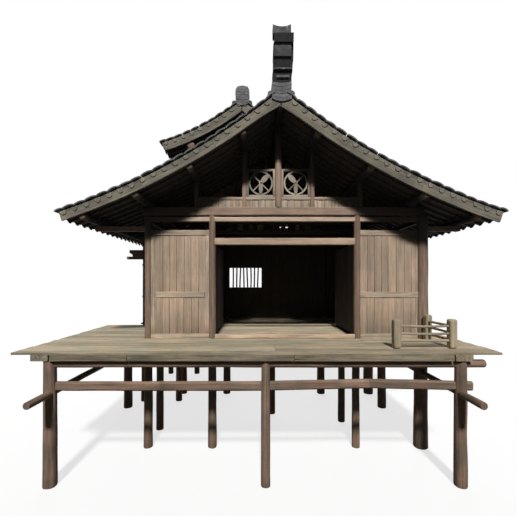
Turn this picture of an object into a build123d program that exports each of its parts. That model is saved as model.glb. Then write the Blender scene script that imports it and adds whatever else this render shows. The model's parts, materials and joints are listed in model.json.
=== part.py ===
"""Stilt house: a timber hall with a gable front, standing with its deck on round log stilts.

Millimetres, +Z up, +Y from the front of the deck into the house, +X to the right of someone
who faces the front.  The origin is on the ground, under the front middle stilt.
"""

from build123d import *
from collections import namedtuple
from math import asin, cos, radians, sin
import os

os.makedirs("parts", exist_ok=True)

# ---------------------------------------------------------------- clearances
NOTCH_GAP = 0.4          # round logs in their notches
PIN_GAP = 0.5            # door pins in their sockets, on the radius
SWING_GAP = 12           # door leaves to what they swing past
MITRE_GAP = 3            # boards whose ends meet in one node
OVERCUT = 1              # how far a cut runs past both sides of what it cuts

# ---------------------------------------------------------------- floor and stilts
FLOOR_TOP = 2625
BOARD = 45               # thickness of every floor board
JOIST = 125              # depth of the joists and edge beams under the boards
JOIST_WIDTH = 120
MIDDLE_JOIST_X = 200
EDGE_BEAM_WIDTH = 340
EDGE_SHIFT_LEFT = 130    # edge beams, left of the middles of their stilts
EDGE_SHIFT_RIGHT = 5
BEAM_END = 60            # edge beams, past the last stilts
JOIST_END = 70           # joists, past the lines of the walls
CROSS_LOG_R = 80
LOG_SETBACK = 155        # cross logs, beside the middles of the stilts
LOG_OVERHANG = 230       # cross logs and the front rail, past the last stilts
FRONT_LOG_START = 80     # left end of the front logs, inside the corner stilt
FRONT_LOG_OVERHANG = 490
FOOT_FLARE = 1.12        # a stilt is this much wider at the ground than at its top
STILT_TOP = FLOOR_TOP - BOARD - JOIST

DECK_LEFT = -4905
DECK_RIGHT = 4565
DECK_FRONT = -140
DECK_BACK = 3750
DECK_STILT_ROW = 3800
FASCIA_FRONT = -135
FASCIA_WIDTH = 200
FASCIA_LEFT_JOINT = -2660
FASCIA_RIGHT_JOINT = 550
FASCIA_JOINT_GAP = 4
CORNER_GAP = 25          # open joint between the front beam and the ends of the side beams

# Deck stilts: x, y and top radius.
FRONT_STILT_X = 3810
LEFT_FRONT_STILT_X = -4210
DECK_STILTS = [
    (LEFT_FRONT_STILT_X, 0, 114),
    (0, 0, 84),
    (FRONT_STILT_X, 0, 108),
    (LEFT_FRONT_STILT_X - 70, DECK_STILT_ROW, 118),
    (FRONT_STILT_X, DECK_STILT_ROW, 118),
]

# ---------------------------------------------------------------- plan of the house
LEFT = -2800             # lines of the posts
DOOR_LEFT = -1250
DOOR_RIGHT = 2250
RIGHT = 3830
FRONT = 1430
MIDDLE = 3240
REAR = 5050
EAVE_OVERHANG = 1140     # eave purlins, outside the wall purlins
ANNEX_LEFT = LEFT - EAVE_OVERHANG
ANNEX_FRONT = 4360
ANNEX_REAR = 7460
FLOOR_MARGIN = 75        # house floor, past the lines of the walls
FLOOR_FRONT = 45
ANNEX_MARGIN = 110       # annex floor, past the lines of its walls

POST_R = 80
CORNER_POST_R = 128      # the front right post is the thickest
HOUSE_STILTS = [
    (LEFT, FRONT, 95),
    (DOOR_LEFT, FRONT, 95),
    (DOOR_RIGHT - 30, FRONT, 86),
    (RIGHT - 40, FRONT, 145),
    (LEFT, 2330, 90),
    (DOOR_RIGHT, 2800, 88),
    (280, 3340, 92),
    (LEFT, REAR, 105),
    (DOOR_LEFT, REAR, 115),
    (DOOR_RIGHT - 120, REAR, 125),
    (RIGHT, REAR, 150),
]
ANNEX_STILTS = [
    (ANNEX_LEFT, ANNEX_FRONT, 115),
    (LEFT, ANNEX_FRONT, 95),
    (ANNEX_LEFT, ANNEX_REAR, 95),
    (LEFT, ANNEX_REAR, 100),
]

# ---------------------------------------------------------------- logs tied to the stilts
TIE_LOG_Y = 40          # middle of the logs behind the front stilts
RAIL_HEIGHT = 186
RAIL_WIDTH = 100
RAIL_Y = 25             # middle of the squared rail between the front stilts
RAIL_Z = 1938
RAIL_ROUNDING = 30
SIDE_LOG_R = 65
SIDE_LOG_Z = 1815
SIDE_LOG_INSET = 35      # from the middle of a corner stilt, inwards
SIDE_LOG_FRONT = -680
SIDE_LOG_TAIL = 160      # past the last stilts

# ---------------------------------------------------------------- railing
RAILING_HEIGHT = 590
RAILING_POST = 150
RAILING_RAIL = 55
RAILING_RAIL_HEIGHTS = (150, 300, 450)
RAILING_Y = 280
RAILING_END_Y = 1180
RAILING_LEFT = 2680
RAILING_RIGHT = 3820

# ---------------------------------------------------------------- walls
PLANK = 40
RAIL = 70                # thickness of the wall rails
WALL_HEIGHT = 2606       # top of the plank walls, above the floor
BELT_HEIGHT = 980        # undersides of the belt rails and the lintel, above the floor
LINTEL_HEIGHT = 2250
WINDOW_HEIGHTS = (1175, 1870)
SIDE_WINDOW_HEIGHTS = (905, 1920)
TOP_RAIL = 131
BELT = 140
FOOT_RAIL = 110
TRANSOM = 204            # gap between the walls and the lower beams, boarded at the rear
LOWER_BEAM = 110
TIE_GAP = 35             # between the lower beams and the tie beams
TIE = 200
MIDDLE_TIE_RISE = 140    # the middle tie beam, above the others
TIE_WIDTH = 150
TIE_OVERHANG = 110       # of the tie beams past the left posts
TIE_RIGHT_END = 20       # of the tie beams past the middle of the right posts
LINTEL = 160
LINTEL_WIDTH = 110
SILL = 100
WINDOW_LEFT = -1150
WINDOW_RIGHT = -10
SIDE_WINDOW_FRONT = 4620
SIDE_WINDOW_REAR = 5800
SIDE_SILL_REACH = 170
SIDE_SILL = 60
SIDE_SILL_MARGIN = 80    # window boards, past both sides of the window
ANNEX_BEAM = 220
ANNEX_BEAM_DROP = 252    # annex beams, under the eave purlin
ANNEX_BRACKET = 510      # brackets, outside the annex posts
BRACKET_CURL_R = 110     # hollow under the end of a bracket
BRACKET_BOARD = 90       # board under a bracket, and how far it runs past its end

# ---------------------------------------------------------------- door leaves
LEAF = 40
LEAF_LEDGE = 30
LEAF_LEDGE_HEIGHT = 110
PIN_R = 20
SOCKET = 120             # side of the blocks that hold the pins
SOCKET_HEIGHT = 60
LEAF_RISE = 50           # top of the leaves, above the underside of the lintel
LEDGE_INSET = 60         # ledges, inside the edges of a leaf
LEDGE_OFFSET = 250       # ledges, from the top and the foot of a leaf
HINGE_INSET = 20         # pivot lines, from the middle of the door posts inwards
HINGE_SETBACK = 120      # pivot lines, behind the middle of the front wall
MEETING_GAP = 10         # between the two closed leaves

# ---------------------------------------------------------------- roofs
RIDGE_X = 345
HALF_SPAN = 4790         # ridge to eave, on the flat
RIDGE_PITCH = 39
EAVE_PITCH = 18.5
ROOF_FRONT = 540
ROOF_REAR = 6050
RAFTER = 60
UPPER_RIDGE_X = -595
UPPER_RIDGE_RISE = 1065  # above the main ridge
UPPER_HALF_SPAN = 2300
UPPER_RIDGE_PITCH = 39
UPPER_EAVE_PITCH = 17
UPPER_ROOF_FRONT = 2700
UPPER_ROOF_REAR = 5600
UPPER_RAFTER = 120

TILES = 130              # thickness of the tile layer with its boarding
VERGE_STEP = 25          # tiles above the verge boards
VERGE_SETBACK = 15
VERGE_BOARD = 40
VERGE_DEPTH = 245
FRONT_LEFT_VERGE_DEPTH = 205
VERGE_END = 40           # board ends, inside the eave
RAFTER_WIDTH = 70
RAFTER_SPACING = 300
EAVE_SETBACK = 90        # rafter ends, inside the eave
PURLIN_R = 75
WALL_PURLIN_R = 81
PURLIN_SETBACK = 60      # purlin ends, behind the verge
INNER_PURLIN = 820       # purlin lines, across from the ridge
MIDDLE_PURLIN = 1980
UPPER_PURLIN = 1465
UPPER_PURLIN_R = 110
ANNEX_ROOF_REAR = 8060
ANNEX_ROOF_INNER = 2700
BRACKET_WIDTH = 110
BRACKET_DEPTH = 110
BRACKET_OVERHANG = 90

# Upper storey: its walls stand in an opening of the main roof.
UPPER_FRONT = 3180
UPPER_REAR = 5110
UPPER_WALL = 50
UPPER_POST = 120

RIDGE_WIDTH = 300
RIDGE_RISE = 110
RIDGE_END_WIDTH = 440
RIDGE_END_RISE = 170
RIDGE_END_LENGTH = 240
UPPER_END_WIDTH = 420
UPPER_END_RISE = 365
FINIAL_WIDTH = 360
FINIAL_ROOT = 60         # how deep a finial sits in its ridge end
FINIAL_HOLLOW_R = 216    # hollow top between the two horns
FINIAL_SETBACK = 160     # behind the verge, at the foot
FINIAL_DEPTH = 230
FINIAL_STEP = 225
FINIAL_SHIFTS = ((-10, 20), (14, -20), (-12, -55), (18, -95), (-8, -130))

KING_POST_R = 82
STRUT_R = 57
GABLE_RAIL = 70
GABLE_BOARDS = 180
FRET_HEIGHT = 681
FRET_BAR = 55
FRET_RING_R = 290
FRET_RING = 38
FRET_SPOKE = 34
FRET_HUB_R = 45
FRET_DEPTH = 36
VENT_HEIGHT = 160        # gaps in the rear gable, above the tie beam
VENT_DEPTH = 36
VENTS = ((320, 42), (415, 82), (552, 88))   # from the ridge, and width


# ---------------------------------------------------------------- helpers
def block(x, y, z, mode=Mode.ADD):
    """A squared timber between (low, high) pairs along the three axes."""
    with Locations(((x[0] + x[1]) / 2, (y[0] + y[1]) / 2, (z[0] + z[1]) / 2)):
        Box(x[1] - x[0], y[1] - y[0], z[1] - z[0], mode=mode)


def around(middle, width):
    """The (low, high) pair of a width centred on a line."""
    return (middle - width / 2, middle + width / 2)


def log_x(x, y, z, radius, mode=Mode.ADD):
    """A round log along X."""
    with Locations(((x[0] + x[1]) / 2, y, z)):
        Cylinder(radius, x[1] - x[0], rotation=(0, 90, 0), mode=mode)


def log_y(x, y, z, radius, mode=Mode.ADD):
    """A round log along Y."""
    with Locations((x, (y[0] + y[1]) / 2, z)):
        Cylinder(radius, y[1] - y[0], rotation=(90, 0, 0), mode=mode)


def post(x, y, z, radius, mode=Mode.ADD):
    """A round post."""
    with Locations((x, y, (z[0] + z[1]) / 2)):
        Cylinder(radius, z[1] - z[0], mode=mode)


def stilt(x, y, top_radius):
    """A round log from the ground to the joists, wider at its foot."""
    with Locations((x, y, 0)):
        align = (Align.CENTER, Align.CENTER, Align.MIN)
        Cone(top_radius * FOOT_FLARE, top_radius, STILT_TOP, align=align)


def upright(y):
    """The upright plane across the house at y, with X to the right and Z up."""
    return Plane(origin=(0, y, 0), x_dir=(1, 0, 0), z_dir=(0, -1, 0))


def save(piece, name):
    """Labels a finished piece and writes it out."""
    piece.part.label = name
    export_step(piece.part, f"parts/{name}.step")


# ---------------------------------------------------------------- roof geometry
Roof = namedtuple("Roof", "ridge_x ridge_z half_span ridge_pitch eave_pitch front rear rafter")


def bend_radius(roof):
    """Radius of the hollow curve of a slope, from its pitch at the ridge and at the eave."""
    return roof.half_span / (sin(radians(roof.ridge_pitch)) - sin(radians(roof.eave_pitch)))


def pitch(roof, across):
    """Slope angle in radians at a distance across from the ridge."""
    return asin(sin(radians(roof.ridge_pitch)) - across / bend_radius(roof))


def roof_z(roof, across, below=0):
    """Height of a slope at a distance across from the ridge."""
    drop = bend_radius(roof) * (cos(pitch(roof, across)) - cos(radians(roof.ridge_pitch)))
    return roof.ridge_z - drop - below


def slope_line(roof, side, inner, outer, below):
    """Three points of the curve that follows a slope, from inner to outer."""
    steps = (inner, (inner + outer) / 2, outer)
    return [(roof.ridge_x + side * u, roof_z(roof, u, below)) for u in steps]


def slope_band(roof, side, span, depth, y):
    """Section of one slope between two curves, at depths below its top."""
    high = slope_line(roof, side, span[0], span[1], depth[0])
    low = slope_line(roof, side, span[0], span[1], depth[1])
    with BuildSketch(upright(y)) as section:
        with BuildLine():
            ThreePointArc(*high)
            Line(high[2], low[2])
            ThreePointArc(*low)
            Line(low[0], high[0])
        make_face()
    return section.sketch


def slope_piece(roof, side, span, depth, y, mode=Mode.ADD):
    """Extrudes a slope band between two places along the ridge."""
    section = slope_band(roof, side, span, depth, y[0])
    extrude(section, amount=y[1] - y[0], dir=(0, 1, 0), mode=mode)


def purlin_z(roof, across, radius):
    """Height of the middle of a purlin that the rafters rest on."""
    top = roof_z(roof, across, TILES + roof.rafter + NOTCH_GAP)
    return top - radius / cos(pitch(roof, across))


def purlin_seat(roof, across, radius):
    """Height of what carries a purlin."""
    return purlin_z(roof, across, radius) - radius - NOTCH_GAP


WALL_TOP = FLOOR_TOP + WALL_HEIGHT
BELT_LOW = FLOOR_TOP + BELT_HEIGHT
LINTEL_LOW = FLOOR_TOP + LINTEL_HEIGHT
LOWER_BEAM_LOW = WALL_TOP + TRANSOM
TIE_LOW = LOWER_BEAM_LOW + LOWER_BEAM + TIE_GAP
TIE_TOP = TIE_LOW + TIE
MIDDLE_TIE_TOP = TIE_TOP + MIDDLE_TIE_RISE
WALL_PURLIN = RIDGE_X - LEFT
EAVE_PURLIN = WALL_PURLIN + EAVE_OVERHANG

# The main roof rests on the tie beams through its wall purlins, which sets the ridge's height.
SLOPE = Roof(RIDGE_X, 0, HALF_SPAN, RIDGE_PITCH, EAVE_PITCH, ROOF_FRONT, ROOF_REAR, RAFTER)
RIDGE_Z = TIE_TOP - purlin_seat(SLOPE, WALL_PURLIN, WALL_PURLIN_R)
MAIN = SLOPE._replace(ridge_z=RIDGE_Z)
UPPER = Roof(
    UPPER_RIDGE_X,
    RIDGE_Z + UPPER_RIDGE_RISE,
    UPPER_HALF_SPAN,
    UPPER_RIDGE_PITCH,
    UPPER_EAVE_PITCH,
    UPPER_ROOF_FRONT,
    UPPER_ROOF_REAR,
    UPPER_RAFTER,
)
EAVE_SEAT = purlin_seat(MAIN, EAVE_PURLIN, PURLIN_R)
ANNEX_TOP = EAVE_SEAT - ANNEX_BEAM_DROP - ANNEX_BEAM
PURLINS = (MAIN.front + PURLIN_SETBACK, MAIN.rear - PURLIN_SETBACK)
UPPER_HALF = UPPER_PURLIN + UPPER_WALL / 2
UPPER_LEFT = UPPER.ridge_x - UPPER_HALF
UPPER_RIGHT = UPPER.ridge_x + UPPER_HALF


def rafter_rows(front, rear):
    """Places along the ridge of the rafters, evenly spaced inside the verges."""
    room = rear - front - 2 * PURLIN_SETBACK - RAFTER_WIDTH
    count = int(room // RAFTER_SPACING) + 1
    step = room / count
    first = front + PURLIN_SETBACK + RAFTER_WIDTH / 2
    return [first + i * step for i in range(count + 1)]


# ================================================================ under the floor
CROSS_LOG_Z = STILT_TOP - CROSS_LOG_R
FRONT_LOG_LEFT = LEFT_FRONT_STILT_X + FRONT_LOG_START
HOUSE_LOG_X = (LEFT - LOG_OVERHANG, RIGHT + LOG_OVERHANG)
DECK_LOG_X = (LEFT_FRONT_STILT_X - LOG_OVERHANG, FRONT_STILT_X + LOG_OVERHANG)
ANNEX_LOG_X = (ANNEX_LEFT - LOG_OVERHANG, LEFT + LOG_OVERHANG)
CROSS_LOGS = [
    ((FRONT_LOG_LEFT, FRONT_STILT_X + FRONT_LOG_OVERHANG), TIE_LOG_Y),
    (HOUSE_LOG_X, FRONT + LOG_SETBACK),
    (DECK_LOG_X, DECK_STILT_ROW - LOG_SETBACK),
    (HOUSE_LOG_X, REAR - LOG_SETBACK),
    (ANNEX_LOG_X, ANNEX_FRONT + LOG_SETBACK),
    (ANNEX_LOG_X, ANNEX_REAR - LOG_SETBACK),
]
FRONT_RAIL_X = (FRONT_LOG_LEFT, FRONT_STILT_X + LOG_OVERHANG)
FRONT_RAIL_Y = around(RAIL_Y, RAIL_WIDTH)
FRONT_RAIL_Z = around(RAIL_Z, RAIL_HEIGHT)
SIDE_LOG_X = (LEFT_FRONT_STILT_X + SIDE_LOG_INSET, FRONT_STILT_X - SIDE_LOG_INSET)
SIDE_LOG_Y = (SIDE_LOG_FRONT, DECK_STILT_ROW + SIDE_LOG_TAIL)


# What the stilts give way to: open seats for the cross logs, holes for the side logs and the rail.
with BuildPart() as notches:
    seat = CROSS_LOG_R + NOTCH_GAP
    for x, y in CROSS_LOGS:
        log_x(x, y, CROSS_LOG_Z, seat)
        block(x, around(y, 2 * seat), (CROSS_LOG_Z, STILT_TOP + OVERCUT))
    for x in SIDE_LOG_X:
        log_y(x, SIDE_LOG_Y, SIDE_LOG_Z, SIDE_LOG_R + NOTCH_GAP)
    block(FRONT_RAIL_X, FRONT_RAIL_Y, FRONT_RAIL_Z)


with BuildPart() as deck_stilts:
    for x, y, radius in DECK_STILTS:
        stilt(x, y, radius)
    add(notches.part, mode=Mode.SUBTRACT)
save(deck_stilts, "deck_stilts")

with BuildPart() as house_stilts:
    for x, y, radius in HOUSE_STILTS + ANNEX_STILTS:
        stilt(x, y, radius)
    add(notches.part, mode=Mode.SUBTRACT)
save(house_stilts, "house_stilts")

with BuildPart() as cross_logs:
    for x, y in CROSS_LOGS:
        log_x(x, y, CROSS_LOG_Z, CROSS_LOG_R)
save(cross_logs, "cross_logs")

with BuildPart() as side_logs:
    for x in SIDE_LOG_X:
        log_y(x, SIDE_LOG_Y, SIDE_LOG_Z, SIDE_LOG_R)
save(side_logs, "side_logs")

with BuildPart() as front_rail:
    block(FRONT_RAIL_X, FRONT_RAIL_Y, FRONT_RAIL_Z)
    fillet(front_rail.edges().filter_by(Axis.X), radius=RAIL_ROUNDING)
    for x in SIDE_LOG_X:
        log_y(x, SIDE_LOG_Y, SIDE_LOG_Z, SIDE_LOG_R + NOTCH_GAP, mode=Mode.SUBTRACT)
save(front_rail, "front_rail")

JOIST_Z = (STILT_TOP, STILT_TOP + JOIST)
FASCIA_Y = (FASCIA_FRONT, FASCIA_FRONT + FASCIA_WIDTH)
EDGE_LEFT = around(LEFT_FRONT_STILT_X - EDGE_SHIFT_LEFT, EDGE_BEAM_WIDTH)
EDGE_RIGHT = around(FRONT_STILT_X - EDGE_SHIFT_RIGHT, EDGE_BEAM_WIDTH)
EDGE_BEAM_Y = (FASCIA_FRONT, DECK_STILT_ROW + BEAM_END)

with BuildPart() as edge_beams:
    block(EDGE_LEFT, EDGE_BEAM_Y, JOIST_Z)
    block(EDGE_RIGHT, EDGE_BEAM_Y, JOIST_Z)
save(edge_beams, "edge_beams")

with BuildPart() as front_beam:
    half_gap = FASCIA_JOINT_GAP / 2
    block((EDGE_LEFT[1] + CORNER_GAP, FASCIA_LEFT_JOINT - half_gap), FASCIA_Y, JOIST_Z)
    block((FASCIA_LEFT_JOINT + half_gap, FASCIA_RIGHT_JOINT - half_gap), FASCIA_Y, JOIST_Z)
    block((FASCIA_RIGHT_JOINT + half_gap, EDGE_RIGHT[0] - CORNER_GAP), FASCIA_Y, JOIST_Z)
save(front_beam, "front_beam")

with BuildPart() as floor_joists:
    for x in (DOOR_LEFT, MIDDLE_JOIST_X, DOOR_RIGHT):
        block(around(x, JOIST_WIDTH), (FASCIA_Y[1], REAR + JOIST_END), JOIST_Z)
    annex_end = ANNEX_REAR + JOIST_END
    block(around(LEFT, JOIST_WIDTH), (FASCIA_Y[1], annex_end), JOIST_Z)
    block(around(RIGHT, JOIST_WIDTH), (EDGE_BEAM_Y[1], REAR + JOIST_END), JOIST_Z)
    block(around(ANNEX_LEFT, JOIST_WIDTH), (ANNEX_FRONT - JOIST_END, annex_end), JOIST_Z)
save(floor_joists, "floor_joists")

# ================================================================ floors
FLOOR_Z = (FLOOR_TOP - BOARD, FLOOR_TOP)
HOUSE_X = (LEFT - FLOOR_MARGIN, RIGHT + FLOOR_MARGIN)
HOUSE_Y = (FRONT - FLOOR_FRONT, REAR + FLOOR_MARGIN)

with BuildPart() as deck:
    block((DECK_LEFT, DECK_RIGHT), (DECK_FRONT, DECK_BACK), FLOOR_Z)
    block(HOUSE_X, (HOUSE_Y[0], DECK_BACK), FLOOR_Z, mode=Mode.SUBTRACT)
save(deck, "deck")

with BuildPart() as house_floor:
    block(HOUSE_X, HOUSE_Y, FLOOR_Z)
save(house_floor, "house_floor")

with BuildPart() as annex_floor:
    annex_x = (ANNEX_LEFT - ANNEX_MARGIN, LEFT + ANNEX_MARGIN)
    block(annex_x, (ANNEX_FRONT - ANNEX_MARGIN, ANNEX_REAR + ANNEX_MARGIN), FLOOR_Z)
    block(HOUSE_X, HOUSE_Y, FLOOR_Z, mode=Mode.SUBTRACT)
save(annex_floor, "annex_floor")

# ================================================================ railing
RAILING_Z = (FLOOR_TOP, FLOOR_TOP + RAILING_HEIGHT)


def railing_heights():
    """Heights of the three rails of the railing."""
    return [around(FLOOR_TOP + height, RAILING_RAIL) for height in RAILING_RAIL_HEIGHTS]


with BuildPart() as front_railing:
    block(around(RAILING_LEFT, RAILING_POST), around(RAILING_Y, RAILING_POST), RAILING_Z)
    block(around(RAILING_RIGHT, RAILING_POST), around(RAILING_Y, RAILING_POST), RAILING_Z)
    for z in railing_heights():
        block((RAILING_LEFT, RAILING_RIGHT), around(RAILING_Y, RAILING_RAIL), z)
save(front_railing, "front_railing")

with BuildPart() as side_railing:
    block(around(RAILING_RIGHT, RAILING_POST), around(RAILING_END_Y, RAILING_POST), RAILING_Z)
    for z in railing_heights():
        rail_y = (RAILING_Y + RAILING_POST / 2, RAILING_END_Y)
        block(around(RAILING_RIGHT, RAILING_RAIL), rail_y, z)
save(side_railing, "side_railing")

# ================================================================ purlins
RIDGE_PURLIN_Z = purlin_z(MAIN, 0, PURLIN_R)
WALL_PURLIN_Z = purlin_z(MAIN, WALL_PURLIN, WALL_PURLIN_R)
EAVE_PURLIN_Z = purlin_z(MAIN, EAVE_PURLIN, PURLIN_R)
EAVE_REACH = (MAIN.ridge_x - EAVE_PURLIN, MAIN.ridge_x + EAVE_PURLIN)
ANNEX_PURLINS = (PURLINS[0], ANNEX_ROOF_REAR - PURLIN_SETBACK)

with BuildPart() as purlins:
    log_y(MAIN.ridge_x, PURLINS, RIDGE_PURLIN_Z, PURLIN_R)
    for side in (-1, 1):
        for across in (INNER_PURLIN, MIDDLE_PURLIN):
            log_y(MAIN.ridge_x + side * across, PURLINS, purlin_z(MAIN, across, PURLIN_R), PURLIN_R)
    log_y(LEFT, ANNEX_PURLINS, WALL_PURLIN_Z, WALL_PURLIN_R)
    log_y(MAIN.ridge_x + WALL_PURLIN, PURLINS, WALL_PURLIN_Z, WALL_PURLIN_R)
    log_y(EAVE_REACH[0], ANNEX_PURLINS, EAVE_PURLIN_Z, PURLIN_R)
    log_y(EAVE_REACH[1], PURLINS, EAVE_PURLIN_Z, PURLIN_R)
save(purlins, "purlins")

# ================================================================ posts and beams
POST_Z = (FLOOR_TOP, TIE_LOW)

with BuildPart() as house_posts:
    for x in (LEFT, DOOR_LEFT, DOOR_RIGHT):
        post(x, FRONT, POST_Z, POST_R)
    post(RIGHT, FRONT, POST_Z, CORNER_POST_R)
    for x in (LEFT, RIGHT):
        post(x, MIDDLE, (FLOOR_TOP, TIE_LOW + MIDDLE_TIE_RISE), POST_R)
    for x in (LEFT, DOOR_LEFT, DOOR_RIGHT, RIGHT):
        post(x, REAR, POST_Z, POST_R)
save(house_posts, "house_posts")

with BuildPart() as annex_posts:
    for y in (ANNEX_FRONT, ANNEX_REAR):
        post(ANNEX_LEFT, y, (FLOOR_TOP, EAVE_SEAT), POST_R)
        post(LEFT, y, POST_Z, POST_R)
        block(around(LEFT, TIE_WIDTH), around(y, TIE_WIDTH), (TIE_LOW, TIE_TOP))
save(annex_posts, "annex_posts")

TIE_X = (LEFT - TIE_OVERHANG, RIGHT + TIE_RIGHT_END)

with BuildPart() as tie_beams:
    for y in (FRONT, REAR):
        block(TIE_X, around(y, TIE_WIDTH), (TIE_LOW, TIE_TOP))
    middle_y = around(MIDDLE, TIE_WIDTH)
    block(TIE_X, middle_y, (MIDDLE_TIE_TOP - TIE, MIDDLE_TIE_TOP))
    for side in (-1, 1):
        rafter_depth = (0, TILES + MAIN.rafter)
        slope_piece(MAIN, side, (0, MAIN.half_span), rafter_depth, middle_y, mode=Mode.SUBTRACT)
    add(purlins.part, mode=Mode.SUBTRACT)
save(tie_beams, "tie_beams")

BEAM_Z = (LOWER_BEAM_LOW, LOWER_BEAM_LOW + LOWER_BEAM)
BRACKET_Z = (EAVE_SEAT - BRACKET_DEPTH, EAVE_SEAT)

with BuildPart() as lower_beams:
    for y in (FRONT, MIDDLE, REAR):
        block((LEFT, RIGHT), around(y, LINTEL_WIDTH), BEAM_Z)
    for x in (LEFT, RIGHT):
        block(around(x, LINTEL_WIDTH), (FRONT, REAR), BEAM_Z)
    add(house_posts.part, mode=Mode.SUBTRACT)
    add(annex_posts.part, mode=Mode.SUBTRACT)
save(lower_beams, "lower_beams")

with BuildPart() as eave_brackets:
    for y in (FRONT, REAR):
        block((RIGHT, EAVE_REACH[1] + BRACKET_OVERHANG), around(y, BRACKET_WIDTH), BRACKET_Z)
    block((EAVE_REACH[0] - BRACKET_OVERHANG, LEFT), around(FRONT, BRACKET_WIDTH), BRACKET_Z)
    add(house_posts.part, mode=Mode.SUBTRACT)
save(eave_brackets, "eave_brackets")

with BuildPart() as door_lintel:
    block((DOOR_LEFT, DOOR_RIGHT), around(FRONT, LINTEL_WIDTH), (LINTEL_LOW, LINTEL_LOW + LINTEL))
    add(house_posts.part, mode=Mode.SUBTRACT)
save(door_lintel, "door_lintel")

with BuildPart() as door_sill:
    block((DOOR_LEFT, DOOR_RIGHT), around(FRONT, LINTEL_WIDTH), (FLOOR_TOP, FLOOR_TOP + SILL))
    add(house_posts.part, mode=Mode.SUBTRACT)
save(door_sill, "door_sill")

# ================================================================ walls
RAIL_LEVELS = (
    (FLOOR_TOP, FLOOR_TOP + FOOT_RAIL),
    (BELT_LOW, BELT_LOW + BELT),
    (WALL_TOP - TOP_RAIL, WALL_TOP),
)
PLANK_LEVELS = (
    (FLOOR_TOP + FOOT_RAIL, BELT_LOW),
    (BELT_LOW + BELT, WALL_TOP - TOP_RAIL),
)


def subtract_posts():
    """Fits the ends of what is being built around the round posts."""
    add(house_posts.part, mode=Mode.SUBTRACT)
    add(annex_posts.part, mode=Mode.SUBTRACT)


with BuildPart() as front_wall:
    for z in PLANK_LEVELS:
        block((LEFT, DOOR_LEFT), around(FRONT, PLANK), z)
        block((DOOR_RIGHT, RIGHT), around(FRONT, PLANK), z)
    subtract_posts()
save(front_wall, "front_wall")

with BuildPart() as side_walls:
    for z in PLANK_LEVELS:
        block(around(LEFT, PLANK), (FRONT, ANNEX_FRONT), z)
        block(around(RIGHT, PLANK), (FRONT, REAR), z)
    subtract_posts()
save(side_walls, "side_walls")

with BuildPart() as rear_wall:
    for z in PLANK_LEVELS + ((WALL_TOP, LOWER_BEAM_LOW),):
        block((LEFT, RIGHT), around(REAR, PLANK), z)
    window_z = (FLOOR_TOP + WINDOW_HEIGHTS[0], FLOOR_TOP + WINDOW_HEIGHTS[1])
    window_x = (WINDOW_LEFT, WINDOW_RIGHT)
    block(window_x, around(REAR, 2 * PLANK), window_z, mode=Mode.SUBTRACT)
    subtract_posts()
save(rear_wall, "rear_wall")

with BuildPart() as wall_rails:
    for z in RAIL_LEVELS:
        block((LEFT, DOOR_LEFT), around(FRONT, RAIL), z)
        block((DOOR_RIGHT, RIGHT), around(FRONT, RAIL), z)
        block((LEFT, RIGHT), around(REAR, RAIL), z)
        block(around(LEFT, RAIL), (FRONT, ANNEX_FRONT), z)
        block(around(RIGHT, RAIL), (FRONT, REAR), z)
    subtract_posts()
save(wall_rails, "wall_rails")

# ================================================================ annex
ANNEX_Z = (FLOOR_TOP, ANNEX_TOP)
SIDE_WINDOW_Z = (FLOOR_TOP + SIDE_WINDOW_HEIGHTS[0], FLOOR_TOP + SIDE_WINDOW_HEIGHTS[1])

with BuildPart() as annex_walls:
    block((ANNEX_LEFT, LEFT), around(ANNEX_FRONT, PLANK), ANNEX_Z)
    block((ANNEX_LEFT, LEFT), around(ANNEX_REAR, PLANK), ANNEX_Z)
    block(around(ANNEX_LEFT, PLANK), (ANNEX_FRONT, ANNEX_REAR), ANNEX_Z)
    block(around(LEFT, PLANK), (REAR, ANNEX_REAR), ANNEX_Z)
    side_window_y = (SIDE_WINDOW_FRONT, SIDE_WINDOW_REAR)
    block(around(ANNEX_LEFT, 2 * PLANK), side_window_y, SIDE_WINDOW_Z, mode=Mode.SUBTRACT)
    subtract_posts()
save(annex_walls, "annex_walls")

with BuildPart() as annex_window_boards:
    board_x = (ANNEX_LEFT - SIDE_SILL_REACH, ANNEX_LEFT - PLANK / 2)
    board_y = (SIDE_WINDOW_FRONT - SIDE_SILL_MARGIN, SIDE_WINDOW_REAR + SIDE_SILL_MARGIN)
    block(board_x, board_y, (SIDE_WINDOW_Z[0] - SIDE_SILL, SIDE_WINDOW_Z[0]))
    block(board_x, board_y, (SIDE_WINDOW_Z[1], SIDE_WINDOW_Z[1] + SIDE_SILL))
save(annex_window_boards, "annex_window_boards")

ANNEX_BRACKET_END = ANNEX_LEFT - ANNEX_BRACKET
ANNEX_BEAM_Z = (ANNEX_TOP, ANNEX_TOP + ANNEX_BEAM)

with BuildPart() as annex_beams:
    for y in (ANNEX_FRONT, ANNEX_REAR):
        across = around(y, BRACKET_WIDTH)
        block((ANNEX_BRACKET_END, LEFT), across, ANNEX_BEAM_Z)
        with Locations((ANNEX_BRACKET_END, y, ANNEX_TOP)):
            turn = (90, 0, 0)
            Cylinder(BRACKET_CURL_R, 2 * BRACKET_WIDTH, rotation=turn, mode=Mode.SUBTRACT)
        board_x = (ANNEX_BRACKET_END - BRACKET_BOARD, ANNEX_LEFT - POST_R / 2)
        block(board_x, across, (ANNEX_TOP - BRACKET_BOARD, ANNEX_TOP))
    block(around(ANNEX_LEFT, BRACKET_WIDTH), (ANNEX_FRONT, ANNEX_REAR), ANNEX_BEAM_Z)
    block(around(LEFT, BRACKET_WIDTH), (REAR, ANNEX_REAR), ANNEX_BEAM_Z)
    subtract_posts()
save(annex_beams, "annex_beams")

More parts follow.
